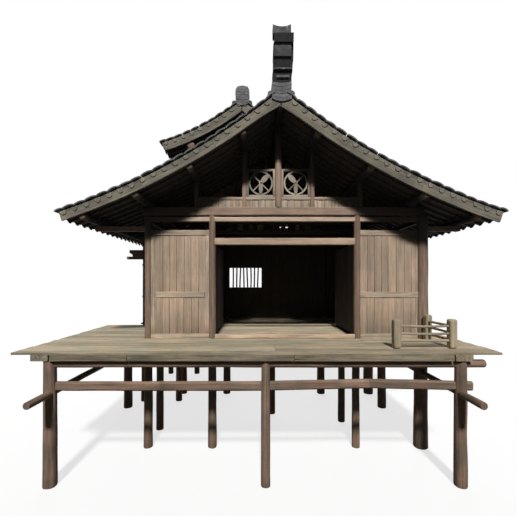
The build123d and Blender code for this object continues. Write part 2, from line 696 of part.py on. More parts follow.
# ================================================================ door leaves
HINGE_Y = FRONT + HINGE_SETBACK
LEAF_LOW = FLOOR_TOP + SOCKET_HEIGHT + SWING_GAP
LEAF_HIGH = LINTEL_LOW + LEAF_RISE
TOP_SOCKET_LOW = LEAF_HIGH + SWING_GAP
DOOR_MIDDLE = (DOOR_LEFT + DOOR_RIGHT) / 2


def hinge_x(side):
    """Pivot line of the leaf on one side, -1 for the left and 1 for the right."""
    return DOOR_MIDDLE + side * ((DOOR_RIGHT - DOOR_LEFT) / 2 - HINGE_INSET)


def door_leaf(side):
    """A plank leaf that stands open, straight back from its pivot, on round pins."""
    x = hinge_x(side)
    reach = side * (x - DOOR_MIDDLE) - MEETING_GAP / 2
    z = (LEAF_LOW, LEAF_HIGH)
    block(around(x, LEAF), (HINGE_Y, HINGE_Y + reach), z)
    post(x, HINGE_Y, z, LEAF / 2)
    post(x, HINGE_Y, (FLOOR_TOP + NOTCH_GAP, TOP_SOCKET_LOW + SOCKET_HEIGHT), PIN_R)
    face = (x + side * LEAF / 2, x + side * (LEAF / 2 + LEAF_LEDGE))
    for low in (LEAF_LOW + LEDGE_OFFSET, LEAF_HIGH - LEDGE_OFFSET - LEAF_LEDGE_HEIGHT):
        ledge_y = (HINGE_Y + LEDGE_INSET, HINGE_Y + reach - LEDGE_INSET)
        block((min(face), max(face)), ledge_y, (low, low + LEAF_LEDGE_HEIGHT))


with BuildPart() as door_leaf_left:
    door_leaf(-1)
save(door_leaf_left, "door_leaf_left")

with BuildPart() as door_leaf_right:
    door_leaf(1)
save(door_leaf_right, "door_leaf_right")

with BuildPart() as door_sockets:
    for side in (-1, 1):
        x = around(hinge_x(side), SOCKET)
        y = (FRONT + LINTEL_WIDTH / 2, HINGE_Y + SOCKET / 2)
        block(x, y, (FLOOR_TOP, FLOOR_TOP + SOCKET_HEIGHT))
        block(x, y, (TOP_SOCKET_LOW, TOP_SOCKET_LOW + SOCKET_HEIGHT))
        pin_z = (FLOOR_TOP, TOP_SOCKET_LOW + SOCKET_HEIGHT)
        post(hinge_x(side), HINGE_Y, pin_z, PIN_R + PIN_GAP, mode=Mode.SUBTRACT)
    subtract_posts()
save(door_sockets, "door_sockets")

# ================================================================ gables
with BuildPart() as gable_posts:
    for y, seat in ((FRONT, TIE_TOP), (MIDDLE, MIDDLE_TIE_TOP), (REAR, TIE_TOP)):
        post(MAIN.ridge_x, y, (seat, RIDGE_PURLIN_Z), KING_POST_R)
        for side in (-1, 1):
            for across in (INNER_PURLIN, MIDDLE_PURLIN):
                top = purlin_z(MAIN, across, PURLIN_R)
                post(MAIN.ridge_x + side * across, y, (seat, top), STRUT_R)
    add(purlins.part, mode=Mode.SUBTRACT)
save(gable_posts, "gable_posts")

GABLE_X = (MAIN.ridge_x - MIDDLE_PURLIN, MAIN.ridge_x + MIDDLE_PURLIN)
RAIL_LOW = TIE_TOP + GABLE_BOARDS

with BuildPart() as gable_boards:
    block(GABLE_X, around(FRONT, PLANK), (TIE_TOP, RAIL_LOW))
    add(gable_posts.part, mode=Mode.SUBTRACT)
save(gable_boards, "gable_boards")

with BuildPart() as gable_rail:
    block(GABLE_X, around(FRONT, RAIL), (RAIL_LOW, RAIL_LOW + GABLE_RAIL))
    add(gable_posts.part, mode=Mode.SUBTRACT)
save(gable_rail, "gable_rail")

FRET_LOW = RAIL_LOW + GABLE_RAIL
FRET_MIDDLE_Z = FRET_LOW + FRET_HEIGHT / 2


def fretwork(side):
    """A frame between the king post and a strut, with a ring and its spokes."""
    inner = MAIN.ridge_x + side * KING_POST_R
    outer = MAIN.ridge_x + side * (INNER_PURLIN - STRUT_R)
    x = (min(inner, outer), max(inner, outer))
    width = x[1] - x[0]
    with BuildSketch(upright(FRONT - FRET_DEPTH / 2)) as outline:
        with Locations(((inner + outer) / 2, FRET_MIDDLE_Z)):
            Rectangle(width, FRET_HEIGHT)
            Rectangle(width - 2 * FRET_BAR, FRET_HEIGHT - 2 * FRET_BAR, mode=Mode.SUBTRACT)
            Circle(FRET_RING_R)
            Circle(FRET_RING_R - FRET_RING, mode=Mode.SUBTRACT)
            for angle in (0, 45, 90, 135):
                Rectangle(2 * FRET_RING_R - FRET_RING, FRET_SPOKE, rotation=angle)
            Circle(FRET_HUB_R)
    extrude(outline.sketch, amount=FRET_DEPTH, dir=(0, 1, 0))


with BuildPart() as gable_fretwork:
    fretwork(-1)
    fretwork(1)
    add(gable_posts.part, mode=Mode.SUBTRACT)
save(gable_fretwork, "gable_fretwork")

with BuildPart() as rear_gable:
    for side in (-1, 1):
        high = slope_line(MAIN, side, 0, WALL_PURLIN, TILES + MAIN.rafter)
        with BuildSketch(upright(REAR - PLANK / 2)) as outline:
            with BuildLine():
                ThreePointArc(*high)
                Line(high[2], (high[2][0], TIE_TOP))
                Line((high[2][0], TIE_TOP), (MAIN.ridge_x, TIE_TOP))
                Line((MAIN.ridge_x, TIE_TOP), high[0])
            make_face()
        extrude(outline.sketch, amount=PLANK, dir=(0, 1, 0))
    for across, width in VENTS:
        vent_x = around(MAIN.ridge_x + across, width)
        vent_z = around(TIE_TOP + VENT_HEIGHT, VENT_DEPTH)
        block(vent_x, around(REAR, 2 * PLANK), vent_z, mode=Mode.SUBTRACT)
    add(gable_posts.part, mode=Mode.SUBTRACT)
    add(purlins.part, mode=Mode.SUBTRACT)
save(rear_gable, "rear_gable")

# ================================================================ main roof
UPPER_OPENING_Y = (UPPER_FRONT, UPPER_REAR)


def cut_upper_opening():
    """Clears the place of the upper storey out of the main roof."""
    z = (TIE_TOP, MAIN.ridge_z + TILES)
    block((UPPER_LEFT, UPPER_RIGHT), UPPER_OPENING_Y, z, mode=Mode.SUBTRACT)


def roof_slope(roof, side):
    """Tile layer of one slope, stepped over the verge boards at both gables."""
    inset = VERGE_SETBACK + VERGE_BOARD
    span = (0, roof.half_span)
    slope_piece(roof, side, span, (0, TILES), (roof.front + inset, roof.rear - inset))
    slope_piece(roof, side, span, (0, VERGE_STEP), (roof.front, roof.rear))


def verge_board(roof, side, y, outer, depth=VERGE_DEPTH):
    """A board under the tile edge of a gable, from the ridge out to a distance across."""
    below = (VERGE_STEP, VERGE_STEP + depth)
    slope_piece(roof, side, (MITRE_GAP / 2, outer), below, (y, y + VERGE_BOARD))


def rafter_set(roof, side, rows, span):
    """Rafters of one slope at the given places along the ridge."""
    for y in rows:
        slope_piece(roof, side, span, (TILES, TILES + roof.rafter), around(y, RAFTER_WIDTH))


with BuildPart() as main_roof_left:
    roof_slope(MAIN, -1)
    cut_upper_opening()
save(main_roof_left, "main_roof_left")

with BuildPart() as main_roof_right:
    roof_slope(MAIN, 1)
    cut_upper_opening()
save(main_roof_right, "main_roof_right")

with BuildPart() as rafters:
    main_span = (MITRE_GAP, MAIN.half_span - EAVE_SETBACK)
    upper_span = (MITRE_GAP, UPPER.half_span - EAVE_SETBACK)
    annex_span = (ANNEX_ROOF_INNER + EAVE_SETBACK, MAIN.half_span - EAVE_SETBACK)
    for side in (-1, 1):
        rafter_set(MAIN, side, rafter_rows(MAIN.front, MAIN.rear), main_span)
    cut_upper_opening()
    rafter_set(MAIN, -1, rafter_rows(MAIN.rear, ANNEX_ROOF_REAR), annex_span)
    for side in (-1, 1):
        rafter_set(UPPER, side, rafter_rows(UPPER.front, UPPER.rear), upper_span)
save(rafters, "rafters")

with BuildPart() as verge_boards:
    for roof in (MAIN, UPPER):
        rear_face = roof.rear - VERGE_SETBACK - VERGE_BOARD
        board_end = roof.half_span - VERGE_END
        front_face = roof.front + VERGE_SETBACK
        left_depth = FRONT_LEFT_VERGE_DEPTH if roof is MAIN else VERGE_DEPTH
        verge_board(roof, -1, front_face, board_end, left_depth)
        verge_board(roof, 1, front_face, board_end)
        verge_board(roof, -1, rear_face, ANNEX_ROOF_INNER if roof is MAIN else board_end)
        verge_board(roof, 1, rear_face, board_end)
save(verge_boards, "verge_boards")

with BuildPart() as annex_roof:
    span = (ANNEX_ROOF_INNER, MAIN.half_span)
    slope_piece(MAIN, -1, span, (0, TILES), (MAIN.rear, ANNEX_ROOF_REAR))
save(annex_roof, "annex_roof")

# ================================================================ upper storey
UPPER_PURLIN_Z = purlin_z(UPPER, UPPER_PURLIN, UPPER_PURLIN_R)
UPPER_RIDGE_PURLIN_Z = purlin_z(UPPER, 0, PURLIN_R)
UPPER_PURLIN_Y = (UPPER.front + PURLIN_SETBACK, UPPER.rear - PURLIN_SETBACK)


def cut_below_main_roof():
    """Clears everything that lies under the tile layer of the main roof."""
    for side in (-1, 1):
        y = (UPPER_FRONT - OVERCUT, UPPER_REAR + OVERCUT)
        depth = (TILES, MAIN.ridge_z - TIE_TOP)
        slope_piece(MAIN, side, (0, MAIN.half_span), depth, y, mode=Mode.SUBTRACT)


def upper_end_wall(y):
    """A gable wall of the upper storey, up to its own rafters."""
    for side in (-1, 1):
        high = slope_line(UPPER, side, 0, UPPER_HALF, TILES + UPPER.rafter)
        low = TIE_TOP + TIE
        with BuildSketch(upright(y)) as outline:
            with BuildLine():
                ThreePointArc(*high)
                Line(high[2], (high[2][0], low))
                Line((high[2][0], low), (UPPER.ridge_x, low))
                Line((UPPER.ridge_x, low), high[0])
            make_face()
        extrude(outline.sketch, amount=UPPER_WALL, dir=(0, 1, 0))


with BuildPart() as upper_purlins:
    log_y(UPPER.ridge_x, UPPER_PURLIN_Y, UPPER_RIDGE_PURLIN_Z, PURLIN_R)
    for side in (-1, 1):
        x = UPPER.ridge_x + side * UPPER_PURLIN
        log_y(x, UPPER_PURLIN_Y, UPPER_PURLIN_Z, UPPER_PURLIN_R)
save(upper_purlins, "upper_purlins")

UPPER_POSTS = (
    ((UPPER_FRONT + UPPER_WALL, UPPER_FRONT + UPPER_WALL + UPPER_POST), MIDDLE_TIE_TOP),
    ((REAR - PLANK / 2 - UPPER_POST, REAR - PLANK / 2), TIE_TOP),
)

with BuildPart() as upper_posts:
    for y, seat in UPPER_POSTS:
        left_x = UPPER_LEFT + UPPER_WALL
        block((left_x, left_x + UPPER_POST), y, (seat, UPPER_PURLIN_Z))
        right_x = UPPER_RIGHT - UPPER_WALL
        block((right_x - UPPER_POST, right_x), y, (seat, UPPER_PURLIN_Z))
    add(purlins.part, mode=Mode.SUBTRACT)
    add(gable_posts.part, mode=Mode.SUBTRACT)
    add(upper_purlins.part, mode=Mode.SUBTRACT)
save(upper_posts, "upper_posts")

with BuildPart() as upper_walls:
    upper_end_wall(UPPER_FRONT)
    upper_end_wall(UPPER_REAR - UPPER_WALL)
    wall_z = (TIE_TOP + TIE, UPPER_PURLIN_Z)
    block((UPPER_LEFT, UPPER_LEFT + UPPER_WALL), UPPER_OPENING_Y, wall_z)
    block((UPPER_RIGHT - UPPER_WALL, UPPER_RIGHT), UPPER_OPENING_Y, wall_z)
    cut_below_main_roof()
    add(upper_purlins.part, mode=Mode.SUBTRACT)
save(upper_walls, "upper_walls")

with BuildPart() as upper_roof_left:
    roof_slope(UPPER, -1)
save(upper_roof_left, "upper_roof_left")

with BuildPart() as upper_roof_right:
    roof_slope(UPPER, 1)
save(upper_roof_right, "upper_roof_right")


# ================================================================ ridges
def ridge_bank(roof, width, rise, y):
    """A bank of tiles astride the ridge, with a rounded top, between two places along it."""
    shoulder = roof.ridge_z + rise - width / 4
    low = roof_z(roof, width / 2, TILES / 2)
    left, right = around(roof.ridge_x, width)
    with BuildSketch(upright(y[0])) as outline:
        with BuildLine():
            Line((left, low), (left, shoulder))
            ThreePointArc((left, shoulder), (roof.ridge_x, roof.ridge_z + rise), (right, shoulder))
            Line((right, shoulder), (right, low))
            Line((right, low), (left, low))
        make_face()
    extrude(outline.sketch, amount=y[1] - y[0], dir=(0, 1, 0))
    for side in (-1, 1):
        slope_piece(roof, side, (0, width), (0, 2 * TILES), y, mode=Mode.SUBTRACT)


with BuildPart() as main_ridge:
    front_end = MAIN.front + RIDGE_END_LENGTH
    rear_end = MAIN.rear - RIDGE_END_LENGTH
    ridge_bank(MAIN, RIDGE_WIDTH, RIDGE_RISE, (front_end, UPPER_FRONT))
    ridge_bank(MAIN, RIDGE_WIDTH, RIDGE_RISE, (UPPER_REAR, rear_end))
    ridge_bank(MAIN, RIDGE_END_WIDTH, RIDGE_END_RISE, (MAIN.front, front_end))
    ridge_bank(MAIN, RIDGE_END_WIDTH, RIDGE_END_RISE, (rear_end, MAIN.rear))
save(main_ridge, "main_ridge")

with BuildPart() as upper_ridge:
    front_end = UPPER.front + RIDGE_END_LENGTH
    rear_end = UPPER.rear - RIDGE_END_LENGTH
    ridge_bank(UPPER, RIDGE_WIDTH, RIDGE_RISE, (front_end, rear_end))
    ridge_bank(UPPER, UPPER_END_WIDTH, UPPER_END_RISE, (UPPER.front, front_end))
    ridge_bank(UPPER, UPPER_END_WIDTH, UPPER_END_RISE, (rear_end, UPPER.rear))
save(upper_ridge, "upper_ridge")


def finial(front, towards):
    """A leaning stack of tiles on a ridge end, with a hollow top between two horns."""
    low = MAIN.ridge_z + RIDGE_END_RISE - FINIAL_ROOT
    for level, (shift_x, shift_y) in enumerate(FINIAL_SHIFTS):
        z = (low + level * FINIAL_STEP, low + (level + 1) * FINIAL_STEP)
        near = front + towards * (FINIAL_SETBACK + shift_y)
        far = near + towards * FINIAL_DEPTH
        x = around(MAIN.ridge_x + shift_x, FINIAL_WIDTH)
        block(x, (min(near, far), max(near, far)), z)
    top = low + len(FINIAL_SHIFTS) * FINIAL_STEP
    with Locations((MAIN.ridge_x, (near + far) / 2, top + FINIAL_WIDTH / 2)):
        turn = (90, 0, 0)
        Cylinder(FINIAL_HOLLOW_R, 2 * FINIAL_DEPTH, rotation=turn, mode=Mode.SUBTRACT)


with BuildPart() as finials:
    finial(MAIN.front, 1)
    finial(MAIN.rear, -1)
    add(main_ridge.part, mode=Mode.SUBTRACT)
save(finials, "finials")
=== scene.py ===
"""Looks of the stilt house: weathered timber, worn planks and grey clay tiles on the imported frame."""
import json
import random
from collections import namedtuple
from math import asin, cos, pi, radians, sin, tan

import bpy
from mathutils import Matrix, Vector, noise


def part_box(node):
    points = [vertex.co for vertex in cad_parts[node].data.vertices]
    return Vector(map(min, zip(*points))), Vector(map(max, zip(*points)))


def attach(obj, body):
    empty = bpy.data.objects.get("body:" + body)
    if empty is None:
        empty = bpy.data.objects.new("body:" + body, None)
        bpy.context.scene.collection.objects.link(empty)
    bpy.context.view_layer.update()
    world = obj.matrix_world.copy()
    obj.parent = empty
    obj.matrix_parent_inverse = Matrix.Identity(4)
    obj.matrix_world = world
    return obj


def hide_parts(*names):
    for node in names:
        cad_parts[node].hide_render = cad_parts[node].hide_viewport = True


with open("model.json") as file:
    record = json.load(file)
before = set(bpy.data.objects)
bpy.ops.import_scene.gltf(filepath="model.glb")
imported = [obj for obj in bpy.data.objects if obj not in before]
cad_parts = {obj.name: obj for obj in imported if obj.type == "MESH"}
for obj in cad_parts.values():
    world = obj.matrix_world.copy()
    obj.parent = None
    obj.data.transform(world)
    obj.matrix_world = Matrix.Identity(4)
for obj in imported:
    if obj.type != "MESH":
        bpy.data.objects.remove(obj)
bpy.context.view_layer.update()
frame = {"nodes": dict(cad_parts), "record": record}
NODES = frame["nodes"]
SLOTS = {part["node"]: part["material_slot"] for part in frame["record"]["subparts"]}
RNG = random.Random(11)
noise.seed_set(11)
UP, Y_AXIS = Vector((0, 0, 1)), Vector((0, 1, 0))

Box = namedtuple("Box", "x y z")


def box(node):
    """The (low, high) places of a node along the three axes."""
    return Box(*zip(*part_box(node)))


# ---- sizes, in metres
HOUSE, DECK, EDGES, LINTEL = box("house_floor"), box("deck"), box("edge_beams"), box("door_lintel")
BEAM_Z, WALL_TOP, EAVE_SEAT = box("lower_beams").z, box("wall_rails").z[1], box("eave_brackets").z[1]
UPPER_X, UPPER_Y, _ = box("upper_walls")
FLOOR = HOUSE.z[1]
JOIST_Z = (FLOOR - .17, FLOOR - .045)
LEFT, DOOR_LEFT, DOOR_RIGHT, RIGHT = COLUMNS = (-2.8, -1.25, 2.25, 3.83)
BAYS = list(zip(COLUMNS[:-1], COLUMNS[1:]))
FRONT, MIDDLE, REAR = 1.43, 3.24, 5.05
DECK_LEFT, DECK_RIGHT, DECK_REAR = -4.21, 3.81, 3.8
ANNEX_LEFT, ANNEX_FRONT, ANNEX_REAR = -3.94, 4.36, 7.46
POST_R, CORNER_R = .08, .128
BELT_LOW = FLOOR + .98
TIE_LOW = box("annex_posts").z[1] - .2
TIE_TOP = TIE_LOW + .2
MIDDLE_RISE = .14                      # the middle tie beam lies higher than the others
(RIDGE_X, _), ROOF_Y, (_, RIDGE_Z) = box("main_roof_right")
ROOF_FALL, ROOF_LIFT = .796, .0517     # the roof drops by FALL * x - LIFT * x * x, x from the ridge
PURLIN_R, PURLINS, WALL_PURLIN, EAVE_PURLIN = .075, (.82, 1.98), 3.145, 4.285
UPPER_PURLIN_R, UPPER_PURLIN = .11, 1.465
ANNEX_SPLIT = 2.7                      # across from the ridge, where the annex's strip of roof begins


# ---- meshes
class Shape:
    """Points and faces of one piece, with the place in its grain and the tone of each member.

    It is empty again once its piece is made.
    """

    def __init__(self):
        self.points, self.faces, self.grain, self.tone = [], [], [], []

    def add(self, pairs, faces, seed, tone):
        """Adds faces, and pairs of a point and its place along and across the grain."""
        base = len(self.points)
        self.points += [point for point, place in pairs]
        self.faces += [[base + i for i in face] for face in faces]
        self.grain += [Vector(place) + seed for point, place in pairs]
        self.tone += [tone] * len(pairs)

    def loft(self, rings, seed, tone):
        """Joins rings of such pairs into a closed tube."""
        n = len(rings[0])
        last = (len(rings) - 1) * n
        faces = [tuple(reversed(range(n))), tuple(range(last, last + n))]
        for base in range(0, last, n):
            for j in range(n):
                k = (j + 1) % n
                faces.append((base + j, base + k, base + k + n, base + j + n))
        self.add([pair for ring in rings for pair in ring], faces, seed, tone)

    def make(self, name, material, slot, body="root", replaces=(), angle=40):
        """One visible piece."""
        mesh = bpy.data.meshes.new(name)
        mesh.from_pydata(self.points, [], self.faces)
        # Per point: place in the grain, tone, and painted shade (1 inside the hall and under the roof).
        for key, kind, field, values in (
                ("grain", "FLOAT_VECTOR", "vector", [c for g in self.grain for c in g]),
                ("tone", "FLOAT", "value", self.tone),
                ("painted_shade", "FLOAT", "value", [painted_shade_mask(p) for p in self.points])):
            mesh.attributes.new(key, kind, "POINT").data.foreach_set(field, values)
        mesh.materials.append(material)
        mesh.shade_smooth()
        mesh.set_sharp_from_angle(angle=radians(angle))
        piece = bpy.data.objects.new(name, mesh)
        bpy.context.collection.objects.link(piece)
        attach(piece, body)
        if replaces:
            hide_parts(*replaces)
        self.__init__()

    def dress(self, node, kind, material, **settings):
        """The piece that takes the place of a node of the frame."""
        self.make(f"{node}_{kind}", material, SLOTS[node], replaces=[node], **settings)


def painted_shade_mask(p):
    """Painted shade: 1 inside the hall, fading in under the roof down to the edge of the roof's shadow, else
    0.
    """
    x, y, z = p
    across = abs(x - RIDGE_X)
    depth = RIDGE_Z - across * (ROOF_FALL - ROOF_LIFT * across) - z
    if depth < -.03:
        return 0.0
    if z > FLOOR + .02 and LEFT < x < RIGHT and FRONT + .012 < y < REAR - .012:
        return 1.0
    if not ROOF_Y[0] + .1 < y < ROOF_Y[1] - .1:
        return 0.0
    return min(1, max(0, (1.3 - depth) / .3))


def wobble(size):
    return RNG.uniform(-size, size)


def random_point():
    return Vector((wobble(50), wobble(50), wobble(50)))


def rect(width, depth, chamfer=.005):
    """A chamfered rectangle, counter-clockwise."""
    a, b, c = width / 2, depth / 2, chamfer
    return [(a, -b + c), (a, b - c), (a - c, b), (-a + c, b),
            (-a, b - c), (-a, -b + c), (-a + c, -b), (a - c, -b)]


def circle(radius, sides=18):
    turn = 2 * pi / sides
    return [(radius * cos(i * turn), radius * sin(i * turn)) for i in range(sides)]


def member(shape, start, end, section, up=UP, step=.3, rough=.002, bow=0, ends=None, taper=(1, 1),
           tone=None, rate=2.2):
    """A length of timber from start to end, with an uneven surface and worn ends."""
    start, end = Vector(start), Vector(end)
    length = (end - start).length
    axis = (end - start) / length
    side = Vector(up).cross(axis).normalized()
    top = axis.cross(side)
    size = max(abs(a) for a, b in section)
    ends = ends or [(0, 1 - .004 / size), (.004, 1)]
    first, last = ends[-1][0], length - ends[-1][0]
    count = max(1, round((last - first) / step))
    stations = list(ends[:-1])
    stations += [(first + (last - first) * i / count, 1) for i in range(count + 1)]
    stations += [(length - s, k) for s, k in reversed(ends[:-1])]
    seed = random_point()
    rings = []
    for s, scale in stations:
        t = s / length
        k = scale * (taper[0] + (taper[1] - taper[0]) * t)
        shift = noise.noise_vector(Vector((s * .9, 0, 0)) + seed) * (bow * sin(pi * t))
        ring = []
        for a, b in section:
            wave = noise.noise_vector(Vector((s * rate, a * 9, b * 9)) + seed) * rough
            u, v = a * k + wave.x + shift.x, b * k + wave.y + shift.y
            ring.append((start + axis * s + side * u + top * v, (s, a, b)))
        rings.append(ring)
    shape.loft(rings, seed, RNG.random() if tone is None else tone)


# Worn ends of a member, as (distance from the end, scale of its section).
ROUGH_END = [(0, .72), (.010, .9), (.03, 1)]
SAWN_END = [(0, .9), (.006, .97), (.018, 1)]
FOOT_END = [(0, .96), (.02, 1)]
POST_END = [(0, .97), (.006, 1)]
WORN_TOP = [(0, .70), (.008, .86), (.022, .96), (.045, 1)]
SQUARE_END = [(0, 1)]


def log(shape, start, end, radius, taper=(1, 1), bow=.02, lumps=.05, sides=18, up=UP, tone=None,
        ends=ROUGH_END, step=.24):
    """A round log, a little crooked."""
    member(shape, start, end, circle(radius, sides), up=up, step=step, rough=radius * lumps * 2,
           bow=bow, ends=ends, taper=taper, tone=tone, rate=1.7)


def timber(shape, x, y, z, along, chamfer=.008, rough=.003, tone=None, step=.25):
    """A squared timber between (low, high) pairs along the three axes."""
    mid = Vector([sum(p) / 2 for p in (x, y, z)])
    size = [p[1] - p[0] for p in (x, y, z)]
    i = "xyz".index(along)
    wide, deep = [size[k] for k in range(3) if k != i]
    half = Vector((0, 0, 0))
    half[i] = size[i] / 2
    member(shape, mid - half, mid + half, rect(wide, deep, chamfer), up=Y_AXIS if along == "z" else UP,
           rough=rough, tone=tone, step=step,
           ends=[(0, 1 - chamfer / max(wide, deep) * 2), (chamfer, 1)])


def around(middle, width):
    return (middle - width / 2, middle + width / 2)


def between(a, b, edge=.06):
    """A run between the middles of two posts, that starts and ends inside them."""
    return (a + edge, b - edge)


def oriented(facing, along, through):
    """The x and y of something in a wall that faces along an axis."""
    return (along, through) if facing == "y" else (through, along)


def split(low, high, width, spread=.25):
    """Uneven widths that fill a length."""
    count = max(1, round((high - low) / width))
    parts = [1 + wobble(spread) for _ in range(count)]
    scale = (high - low) / sum(parts)
    edges, place = [low], low
    for part in parts:
        place += part * scale
        edges.append(place)
    return list(zip(edges[:-1], edges[1:]))


def planks(shape, run, line, z, width=.186, facing="y", inside=1):
    """Upright planks side by side along a wall, with strips behind their joints."""
    for low, high in split(run[0], run[1], width, .12):
        face = around(line + wobble(.003), .034)
        heights = z(low, high) if callable(z) else z
        if heights[1] - heights[0] < .03:
            continue
        x, y = oriented(facing, (low + .0025, high - .0025), face)
        timber(shape, x, y, heights, "z", chamfer=.004, rough=.0022)
        if high < run[1]:
            x, y = oriented(facing, around(high, .05), around(line + inside * .02, .012))
            timber(shape, x, y, heights, "z", chamfer=.002, rough=.001, step=1)


def planks_round(shape, run, line, z, window, window_z, first=.186, **settings):
    """Upright planks round a window: beside it, under it and over it."""
    planks(shape, (run[0], window[0]), line, z, width=first, **settings)
    planks(shape, (window[1], run[1]), line, z, **settings)
    for heights in ((z[0], window_z[0]), (window_z[1], z[1])):
        planks(shape, window, line, heights, **settings)


def window_bars(name, count, at, run, z, section, bow, step, lean=0):
    """Upright bars in a window. The function at gives a point at a place along it and a height."""
    bars = Shape()
    for i in range(count):
        place = run[0] + (i + 1) * (run[1] - run[0]) / (count + 1)
        shift = wobble(lean) if lean else 0
        member(bars, at(place - shift, z[0] - .01), at(place + shift, z[1] + .01), section, up=Y_AXIS,
               rough=.006, bow=bow, step=step)
    bars.make(name, POST_WOOD, "wall_planks")


# ---- materials
class Graph:
    """The nodes of a material or a world, made from nothing."""

    def __init__(self, owner):
        owner.use_nodes = True
        self.tree = owner.node_tree
        self.tree.nodes.clear()

    def node(self, kind, *inputs, **settings):
        """A node with its settings, and its first inputs fed in their order."""
        node = self.tree.nodes.new("ShaderNode" + kind)
        for key, value in settings.items():
            setattr(node, key, value)
        for socket, value in zip(node.inputs, inputs):
            self.feed(socket, value)
        return node

    def value(self, kind, *inputs, **settings):
        return self.node(kind, *inputs, **settings).outputs[0]

    def feed(self, socket, value):
        if hasattr(value, "is_output"):
            self.tree.links.new(value, socket)
        else:
            socket.default_value = value


class Paint(Graph):
    """The nodes of one material of the house."""

    def __init__(self, name, roughness):
        self.material = bpy.data.materials.new(name)
        super().__init__(self.material)
        self.shader = self.node("BsdfPrincipled")
        self.feed(self.shader.inputs["Roughness"], roughness)
        self.feed(self.shader.inputs["Specular IOR Level"], .25)
        self.node("OutputMaterial", self.shader.outputs[0])
        self.coords = self.node("TexCoord").outputs["Object"]

    def attribute(self, name, output):
        return self.node("Attribute", attribute_name=name).outputs[output]

    def noise(self, vector, scale, detail=3, roughness=.55, distortion=0):
        """Noise with a scale of its own along each axis."""
        node = self.node("TexNoise", self.value("VectorMath", vector, scale, operation="MULTIPLY"))
        for key, number in (("Scale", 1), ("Detail", detail), ("Roughness", roughness),
                            ("Distortion", distortion)):
            node.inputs[key].default_value = number
        return node.outputs["Fac"]

    def spread(self, value, low, high, to_low, to_high):
        """Maps a value from one range to another, and stays inside it."""
        return self.value("MapRange", value, low, high, to_low, to_high, interpolation_type="SMOOTHSTEP")

    def math(self, operation, a, b):
        return self.value("Math", a, b, operation=operation)

    def product(self, *values):
        total = values[0]
        for value in values[1:]:
            total = self.math("MULTIPLY", total, value)
        return total

    def mix(self, factor, a, b):
        node = self.node("Mix", factor, data_type="RGBA")
        for socket, colour in ((node.inputs[6], a), (node.inputs[7], b)):
            self.feed(socket, (*colour, 1) if isinstance(colour, tuple) else colour)
        return node.outputs[2]

    def finish(self, colour, level, height, bump):
        """Joins the colour, its level and the height of the surface to the shader."""
        scale = self.node("VectorMath", colour, operation="SCALE")
        self.feed(scale.inputs["Scale"], level)
        self.feed(self.shader.inputs["Base Color"], scale.outputs[0])
        relief = self.node("Bump")
        for key, value in (("Strength", bump), ("Distance", .004), ("Height", height)):
            self.feed(relief.inputs[key], value)
        self.feed(self.shader.inputs["Normal"], relief.outputs[0])
        return self.material


def object_grain(paint, along):
    """The object's own coordinates, turned so that the grain runs along the first."""
    parts = paint.node("SeparateXYZ", paint.coords).outputs
    order = {"x": (0, 1, 2), "y": (1, 0, 2), "z": (2, 0, 1)}[along]
    return paint.value("CombineXYZ", *[parts[i] for i in order])


def wood(name, colour, other, along=None, tones=(.78, 1.22), streaks=(.72, 1.25), cracks=.7, painted_shade=.06,
         foot=1):
    """Weathered timber: streaks and cracks along the grain, uneven patches, its own tone, and painted shade
    in the hall and under the roof.
    """
    paint = Paint(name, .82)
    if along:
        vector = object_grain(paint, along)
        tone = paint.noise(vector, (.3, 4, 4), 1)
    else:
        vector, tone = paint.attribute("grain", "Vector"), paint.attribute("tone", "Fac")
    streak = paint.noise(vector, (1.1, 24, 24), 5, .62, .4)
    fine = paint.noise(vector, (7, 150, 150), 3, .6)
    broad = paint.noise(vector, (.7, 4, 4), 3, .5)
    crack = paint.spread(paint.noise(vector, (.8, 38, 38), 2, .5), .27, .34, cracks, 0)
    patch = paint.noise(paint.coords, (1.7, 1.7, 1.7), 4, .6)
    level = paint.product(
        paint.spread(streak, .3, .7, *streaks),
        paint.spread(fine, .3, .7, .9, 1.1),
        paint.spread(broad, .3, .7, .86, 1.14),
        paint.spread(tone, 0, 1, *tones),
        paint.math("SUBTRACT", 1, crack),
    )
    if foot < 1:
        above = paint.node("SeparateXYZ", paint.coords).outputs[2]
        level = paint.math("MULTIPLY", level, paint.spread(above, FLOOR, FLOOR + .9, foot, 1))
    # painted shade: darker where the per-point mask is 1, down to the given level
    if painted_shade < 1 and not along:
        level = paint.math("MULTIPLY", level, paint.spread(paint.attribute("painted_shade", "Fac"), 0, 1, 1, painted_shade))
    tint = paint.mix(paint.spread(patch, .42, .62, 0, 1), colour, other)
    height = paint.math("SUBTRACT", paint.math("ADD", streak, paint.product(fine, .35)), crack)
    return paint.finish(tint, level, height, .5)


def clay(name, colour, other, tones=(.7, 1.35), pale=None):
    """Old fired clay: each tile has its own tone, with patches and pits, and pale blotches."""
    paint = Paint(name, .9)
    vector = paint.attribute("grain", "Vector")
    blotch = paint.noise(vector, (9, 9, 9), 5, .65)
    pits = paint.noise(vector, (70, 70, 70), 3, .6)
    patch = paint.noise(paint.coords, (1.3, 1.3, 1.3), 5, .65)
    level = paint.product(
        paint.spread(paint.attribute("tone", "Fac"), 0, 1, *tones),
        paint.spread(blotch, .3, .7, .7, 1.3),
        paint.spread(pits, .3, .7, .85, 1.12),
    )
    tint = paint.mix(paint.spread(patch, .42, .62, 0, 1), colour, other)
    if pale:
        tint = paint.mix(paint.spread(blotch, .58, .72, 0, .8), tint, pale)
    return paint.finish(tint, level, paint.math("ADD", blotch, paint.product(pits, .5)), .4)


def grey(level):
    return (level, level, level)


